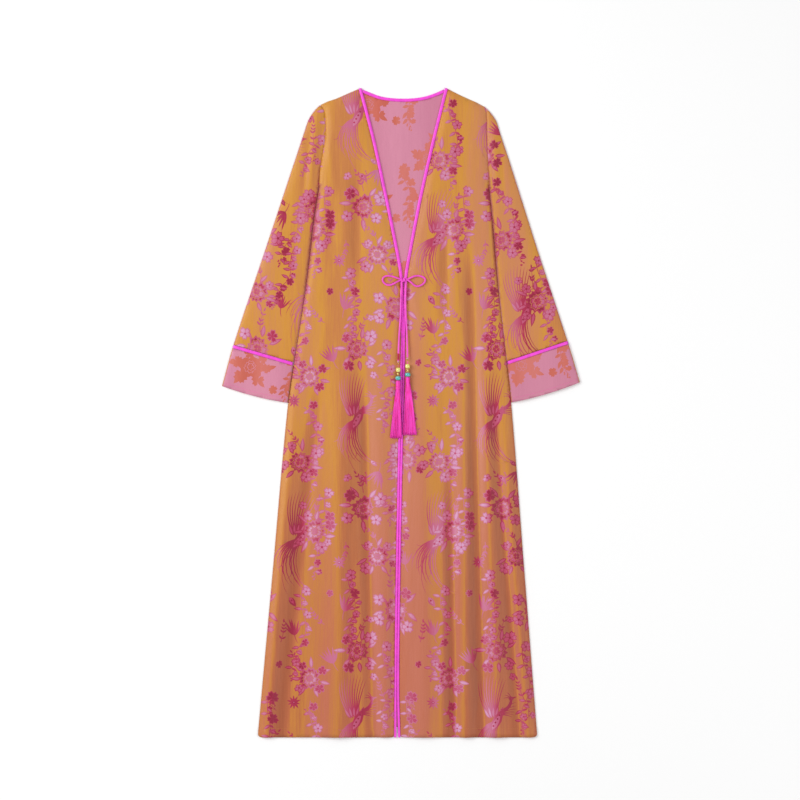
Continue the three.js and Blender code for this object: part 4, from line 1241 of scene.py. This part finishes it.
BROCADE = brocade_finish("shot_brocade")
SATIN = satin_finish("magenta_satin", (255, 78, 226), 0.36, 500)
CORD_SATIN = satin_finish("magenta_cord", (255, 84, 218), 0.38, 400)
THREAD = thread_finish("tassel_thread", (238, 14, 140), (255, 70, 202))
WRAP_THREAD = satin_finish("wrapping_thread", (206, 40, 92), 0.5, 900)
SEWING = satin_finish("sewing_thread", (208, 138, 74), 0.5, 900)
YELLOW_GLASS = glass_finish("yellow_glass", (214, 204, 66), (244, 240, 150), 260)
TURQUOISE_GLASS = glass_finish("turquoise_glass", (52, 158, 158), (108, 214, 204), 420, 0.2)
PINK_GLASS = glass_finish("pink_glass", (224, 150, 178), (246, 200, 214), 300, 0.08, 0.35)
AMBER_GLASS = glass_finish("amber_glass", (178, 120, 42), (222, 166, 74), 300, 0.1, 0.2)
BRASS = Finish("pale_brass", Base_Color=colour(206, 176, 108), Metallic=1.0, Roughness=0.3).material


# Bindings and piping: rolled strips of satin, with the small puckers of their stitches.
def rolled(width, pucker):
    """A strip's section across its width, flat below."""
    height = BINDING_HEIGHT - 0.2
    over = [(math.cos(a) * width / 2, (0.16 + 0.84 * math.sin(a) ** 0.7) * height + pucker)
            for a in [math.pi * (1 - i / 10) for i in range(11)]]
    return [(-width / 2, 0.02 * height)] + over + [(width / 2, 0.02 * height)]


def pucker_at(run, seed):
    return 0.1 * math.sin(run / 1.9 + seed) + 0.08 * math.sin(run / 0.77 + 2 * seed)


STRIP_STEP = 3.0


def front_binding(side):
    ys = heights(699.4, HEM_Y, STRIP_STEP)
    path = [(float(at(FRONT_EDGE, COLUMN[side], y)), y, LAID + OFF_FLOOR) for y in ys]
    shape = swept(path, lambda i: rolled(float(binding_width(ys[i])), pucker_at(ys[i], 1)))
    return made(f"binding_front_{side}_satin", shape, SATIN, f"binding_front_{side}")


def neck_binding():
    line = along_line([tuple(p) for p in spline([(*p, 0) for p in BACK_NECK], 60)[:, :2]], STRIP_STEP)
    reach = 3.4 / math.dist(line[0], line[3])
    first, last = (tuple(np.array(end) - reach * (np.array(fourth) - end))
                   for end, fourth in ((line[0], line[3]), (line[-1], line[-4])))
    path = [(x, y, OFF_FLOOR) for x, y in [first] + line + [last]]
    shape = swept(path, lambda i: rolled(BINDING_NECK, pucker_at(path[i][0], 2)))
    return made("binding_neck_satin", shape, SATIN, "binding_neck")


def cuff_piping(side):
    """A strip round the whole flat sleeve: over it, down at its fold, and back below it."""
    y_in, y_out = PIPED_SEAM[side]
    arm = Arm(side, (y_in, y_out), (y_in, y_out))
    inner, outer = arm.inner(y_in) - 1.4 * INWARDS[side], arm.outer(y_out)
    us = np.linspace(0, 1, 70)
    xs, ys = lerp(inner, outer, us), lerp(y_in, y_out, us)
    rounded = 1.5 * (1 - np.sqrt(np.clip(np.minimum(us, 1 - us) * 50, 0, 1)))
    upper = list(zip(xs, ys, arm.top(xs, ys) + 1.7 - rounded))
    lower = [(x, y, 0.95) for x, y in zip(xs, ys)]
    ring = np.array(upper[1:-1] + lower[::-1])
    way = unit(np.array([outer - inner, y_out - y_in, 0]))
    across = np.array([-way[1], way[0], 0]) * (1 if way[0] < 0 else -1)
    centre = ring.mean(axis=0)
    section = [(math.cos(a) * PIPING_WIDTH / 2, math.sin(a)) for a in around(10)]
    rings = []
    for i, p in enumerate(ring):
        out = unit(np.cross(unit(ring[(i + 1) % len(ring)] - ring[i - 1]), across))
        if out[2] * (1 if p[2] > centre[2] else -1) < 0 and abs(out[2]) > 0.3:
            out = -out
        thick = 0.5 if p[2] < 1 else 1.1 + pucker_at(i * 2.0, 3)
        rings.append([p + across * a + out * (b * thick - 0.3) for a, b in section])
    return made(f"cuff_piping_{side}_satin", skin(rings, True), SATIN, f"cuff_piping_{side}")


STITCH, STITCH_PITCH = 2.6, 4.4


def stitches(name, line, height, material):
    """Short threads that lie on the cloth in a row."""
    run, shapes = 0.0, []
    section = [(0.24 * math.cos(a), 0.2 * math.sin(a)) for a in (0.8, 2.4, 3.9, 5.5)]
    far = walked(line)
    xs, ys = [p[0] for p in line], [p[1] for p in line]
    while run + STITCH < far[-1]:
        path = []
        for at_run, rise in ((run, -0.1), (run + STITCH / 2, 0.14), (run + STITCH, -0.1)):
            x, y = np.interp(at_run, far, xs), np.interp(at_run, far, ys)
            path.append((x, y, float(height(x, y)) + rise))
        shapes.append(swept(path, lambda i: section))
        run += STITCH_PITCH
    return made(name, joined(shapes), material)


def front_hem_stitches(side):
    y = HEM_Y + HEM_DEPTH
    seam, front = float(body_side(side, y)), float(front_edge(side, y))
    line = along_line([(lerp(seam, front, share), y - 2) for share in (0.02, 0.99)], 4)
    height = lambda px, py: front_height(side, px, py)
    return stitches(f"hem_stitches_{side}", line, height, SEWING)


def cuff_stitches(side):
    arm = cuff_arm(side)
    line = [(x, y + 9) for x, y in (arm.hand(u) for u in np.linspace(0.03, 0.97, 40))]
    return stitches(f"cuff_stitches_{side}", line, arm.top, THREAD)


# The bow. The cords' routes are those of the solids: x, y and how far off the cloth.
CORD = 3.7
KNOT_AT, KNOT_HALF = (6.4, 286.2, 8.6), (3.4, 4.4, 3.8)
LOOPS = {
    "right": ((-4, 288.6, 1.6), (-10, 290.6, 1.4), (-17, 293, 0.7), (-27.2, 294.8, 0), (-34.4, 293.6, 0),
              (-39, 289.8, 0), (-39.4, 284.2, 0), (-36, 279, 0), (-30, 275.4, 0), (-23.6, 275, 0.2),
              (-16, 277.8, 0.7), (-10, 281.2, 1.4), (-4, 284.2, 1.6)),
    "left": ((16.8, 288.6, 1.6), (22, 291.2, 1.4), (29, 294, 0.7), (38, 294.9, 0), (46, 292.8, 0),
             (51.4, 288.6, 0), (51.4, 282.4, 0), (46.4, 276.6, 0), (39, 272.9, 0), (32, 272.8, 0.2),
             (26.6, 276.2, 0.7), (21.6, 280.8, 1.4), (16.8, 284.2, 1.6))}
TAILS = {
    "right": ((1.6, 280.6, 0.6), (0.4, 262, 0.1), (-0.4, 236, 0), (-1.4, 204, 0), (-3.6, 172, 1),
              (-5.2, 140, 3), (-5.9, 111.8, 4.6)),
    "left": ((11, 280.6, 0.6), (10, 262, 0.1), (9.6, 240, 0), (10.6, 208, 0), (12.2, 176, 1),
             (13.4, 146, 3), (13.9, 119.3, 4.6))}
BEAD_BORE = 1.6
STRUNG = (  # name, how far below the cord's end, diameter, length, finish, slot
    ("seed_bead_upper", 2.1, 4, 3.6, PINK_GLASS, "pink_bead"),
    ("seed_bead_lower", 6.3, 4, 3.4, AMBER_GLASS, "metal_bead"),
    ("bead_yellow", 19.4, 10.4, 9.4, YELLOW_GLASS, "yellow_bead"),
    ("spacer_bead", 28.6, 6.2, 6.6, BRASS, "metal_bead"),
    ("bead_turquoise", 37.3, 12, 8.2, TURQUOISE_GLASS, "turquoise_bead"))
TASSEL_BELOW, TASSEL_HEAD = 42.4, 9.4
# How far each string leans, the length of the head, where the skirt ends, and half its width there.
TASSELS = {"right": (-0.4, 19, (-11.2, -53.4), 12.8), "left": (0.6, 12, (18.9, -46.4), 15.2)}
STRANDS_ACROSS, STRAND_LAYERS = 30, 4


def laid(point):
    """The middle of a cord that lies on the cloth, or is held some way off it."""
    x, y, off = point
    half = 1.8
    beside = (0, 0), (-half, 0), (half, 0), (0, -half), (0, half)
    top = max(float(ground_top(x + dx, y + dy)) for dx, dy in beside)
    return x, y, top + SEAM + 0.1 + CORD / 2 + off


def round_section(radius, sides, wobble=0.0, i=0):
    return [(math.cos(a) * radius * (1 + wobble * math.sin(3 * a + i * 0.9)),
             math.sin(a) * radius * (1 + wobble * math.sin(2 * a + i * 0.6)))
            for a in around(sides)]


def cord_tube(name, path, node):
    return made(name, swept(path, lambda i: round_section(CORD / 2, 14, 0.03, i)), CORD_SATIN, node)


def bow_loop(side):
    path = spline([laid(p) for p in LOOPS[side]], 80)
    cord_tube(f"loop_{side}_cord", path, f"bow_loop_{side}")
    return path


def string_point(side, below):
    end = laid(TAILS[side][-1])
    return np.array([end[0] + TASSELS[side][0] * below / TASSEL_BELOW, end[1] - below, end[2]])


# Bead profiles: places as shares of the length, and radii as shares of half the diameter.
GROOVED = ((-0.5, 0.62), (-0.42, 0.9), (-0.3, 1.0), (-0.2, 0.78), (-0.1, 0.98), (0, 1.0), (0.1, 0.98),
           (0.2, 0.78), (0.3, 1.0), (0.42, 0.9), (0.5, 0.62))
ROUND = [(0.5 * math.sin(a), 0.46 + 0.54 * math.cos(a) ** 0.8)
         for a in [k * math.pi / 2 for k in np.linspace(-1, 1, 17)]]


def bead(side, entry):
    """A turned bead on its thread: round glass, or a metal spacer with grooves."""
    name, below, diameter, long, finish, slot = entry
    profile = list(GROOVED if name == "spacer_bead" else ROUND)
    bore = BEAD_BORE * 1.05 / diameter
    _, across, up = frames([string_point(side, below - 30), string_point(side, below + 30)])[0]
    rings = []
    for share, radius in [(profile[0][0], bore)] + profile + [(profile[-1][0], bore)]:
        p = string_point(side, below + share * long)
        rings.append([p + (across * math.cos(a) + up * math.sin(a)) * radius * diameter / 2
                      for a in around(28)])
    return made(f"{name}_{side}_turned", skin(rings, True), finish, f"{name}_{side}")


def string(side):
    """The thread that goes on from a cord's end through its beads."""
    path = [string_point(side, below) for below in np.linspace(-1.5, TASSEL_BELOW + 1, 24)]
    return made(f"string_{side}", swept(path, lambda i: round_section(0.5, 8)), THREAD)


def whipping(name, start, end, radius, thread, material, slot):
    """Turns of thread wound round a straight stretch from start to end."""
    start, end = np.array(start, float), np.array(end, float)
    way, across, up = frames([start, end])[0]
    per_turn = 14
    steps = per_turn * max(2, round(np.linalg.norm(end - start) / thread))
    rings = []
    for i in range(steps + 1):
        a = 2 * math.pi * i / per_turn
        out = across * math.cos(a) + up * math.sin(a)
        p = start + (end - start) * i / steps + out * radius
        rings.append([p + (out * math.cos(b) + way * math.sin(b)) * thread * 0.52
                      for b in (0.5, 1.7, 3.0, 4.4, 5.6)])
    return made(name, skin(rings), material)


def tassel(side):
    """A gathered head with a wound collar, and a skirt of fine strands that fan out over the cloth."""
    _, head, end, half_width = TASSELS[side]
    rng = random.Random(5 if side == "right" else 9)
    radius = TASSEL_HEAD / 2
    down, grooves = np.linspace(0, 1, 26), 26
    line = [string_point(side, TASSEL_BELOW + t * head) for t in down]
    swell = np.interp(down, (0, 0.05, 0.2, 0.5, 0.85, 1), (0.5, 0.82, 0.98, 0.93, 0.98, 0.92))

    def section(i):
        reaches = [(a, radius * swell[i] * (1 + 0.035 * math.sin(a * grooves))) for a in around(grooves * 4)]
        return [(math.cos(a) * reach, math.sin(a) * reach) for a, reach in reaches]

    shapes = [swept(line, section)]
    root = string_point(side, TASSEL_BELOW + head - 2.5)
    t = np.linspace(0, 1, 22)
    half = lerp(radius - 0.7, half_width - 0.8, t ** 0.9)
    for layer in range(STRAND_LAYERS):
        for k in range(STRANDS_ACROSS):
            spread = ((k + 0.5 * (layer % 2) + rng.uniform(-0.2, 0.2)) / (STRANDS_ACROSS - 0.5)) * 2 - 1
            short = rng.uniform(-1.6, 1.6) + 1.2 * math.sin(k * 1.3)
            sway, phase = rng.uniform(0.1, 0.55), rng.uniform(0, 6)
            depth = math.sqrt(max(0, 1 - spread * spread)) * (layer / (STRAND_LAYERS - 1) * 2 - 1)
            x = lerp(root[0], end[0], t) + spread * half + sway * np.sin(phase + 5 * t) * t
            y = lerp(root[1], end[1] + short, t)
            resting = ground_top(x, y) + 0.85 + layer
            path = np.column_stack([x, y, lerp(root[2] + depth * (radius - 0.9), resting, smooth(t * 2.4))])
            thick = rng.uniform(0.46, 0.6)
            shapes.append(swept(path, lambda i: [(0, 0.5 * thick), (-thick, -0.1), (thick, -0.1)]))
    made(f"tassel_{side}_strands", joined(shapes), THREAD, f"tassel_{side}")
    collar = [string_point(side, TASSEL_BELOW + head * share) for share in (0.62, 0.8)]
    whipping(f"tassel_collar_{side}", *collar, radius * 0.99, 0.8, THREAD, "tassel_thread")


def tie_tail(side):
    path = spline([laid(p) for p in TAILS[side]], 110)
    piece = cord_tube(f"tail_{side}_cord", path, f"tie_tail_{side}")
    strung = [string(side)] + [bead(side, entry) for entry in STRUNG]
    tassel(side)
    if side == "right":
        strung.append(whipping("tail_wrap_right", path[-11], path[-2], CORD / 2 + 0.1, 0.7, WRAP_THREAD,
                               "satin"))
    return path


def knot(loops, tails):
    """The knot: a cord wound twice round the middle, over the ends of the loops and tails."""
    middle, radius = np.array(KNOT_AT), 1.75
    half = np.array(KNOT_HALF) - radius
    turns, steps = 2.1, 60
    winding = []
    for i in range(steps + 1):
        t = i / steps
        a = 2 * math.pi * turns * t + 2.2
        winding.append(middle + (lerp(-half[0], half[0], t), math.cos(a) * half[1], math.sin(a) * half[2]))
    rings = []
    for i, p in enumerate(winding):
        way = unit(winding[min(i + 1, steps)] - winding[max(i - 1, 0)])
        out = unit((p - middle) * (0, 1, 1))
        beside = unit(np.cross(way, out))
        rings.append([p + (out * math.sin(a) + beside * math.cos(a)) * radius for a in around(14)])
    shapes = [skin(rings)]
    for side in SIDES:
        loop, tail = loops[side], tails[side]
        for end, after in ((loop[0], loop[1]), (loop[-1], loop[-2]), (tail[0], tail[1])):
            way = unit(end - after)
            inside = middle + (end - middle) * (0.3, 0.45, 0.2)
            path = spline([end - way * 0.6, end + way * 1.2, inside], 12)
            shapes.append(swept(path, lambda i: round_section(CORD / 2 - 0.04, 14, 0.03, i)))
    made("knot_cord", joined(shapes), CORD_SATIN, "bow_knot")


# The camera looks straight down, as the photo does, and holds the garment in the same place.
CAMERA_AT, VIEW_WIDTH, SENSOR = (-2.2, 27.5, 4000), 1726, 36
camera = placed("camera", bpy.data.cameras.new("camera"))
camera.location = [place * MM for place in CAMERA_AT]
camera.data.sensor_width = SENSOR
camera.data.lens = SENSOR * CAMERA_AT[2] / VIEW_WIDTH
bpy.context.scene.camera = camera

loop_paths = {side: bow_loop(side) for side in SIDES}
tail_paths = {side: tie_tail(side) for side in SIDES}
knot(loop_paths, tail_paths)


back = back_piece()
neck_binding()
for side in SIDES:
    front_piece(side)
    front_binding(side)
    front_hem_stitches(side)
    sleeve_piece(side)
    cuff_piece(side)
    cuff_piping(side)
    cuff_stitches(side)


# A plain pale floor and soft studio light, mostly from the wearer's right.
def floor():
    mesh = bpy.data.meshes.new("floor")
    reach, z = 12.0, -0.0004
    corners = (-reach, -reach, z), (reach, -reach, z), (reach, reach, z), (-reach, reach, z)
    mesh.from_pydata(corners, [], [range(4)])
    mesh.materials.append(Finish("floor_white", Base_Color=(0.98, 0.98, 0.98, 1), Roughness=0.9).material)
    placed("floor", mesh)


def area_light(name, place, size, power):
    light = placed(name, bpy.data.lights.new(name, "AREA"))
    light.data.shape = "SQUARE"
    light.data.size = size
    light.data.energy = power
    light.location = place
    light.rotation_euler = (-Vector(place)).to_track_quat("-Z", "Y").to_euler()


floor()
area_light("key", (-3.4, 1.2, 2.6), 2.4, 122)
area_light("fill", (2.8, -0.8, 3.2), 3.0, 50)
world = bpy.data.worlds.new("studio")
world.use_nodes = True
sky = world.node_tree.nodes["Background"].inputs
sky["Color"].default_value = (1, 1, 1, 1)
sky["Strength"].default_value = 0.55
bpy.context.scene.world = world
bpy.context.scene.view_settings.view_transform = "Standard"
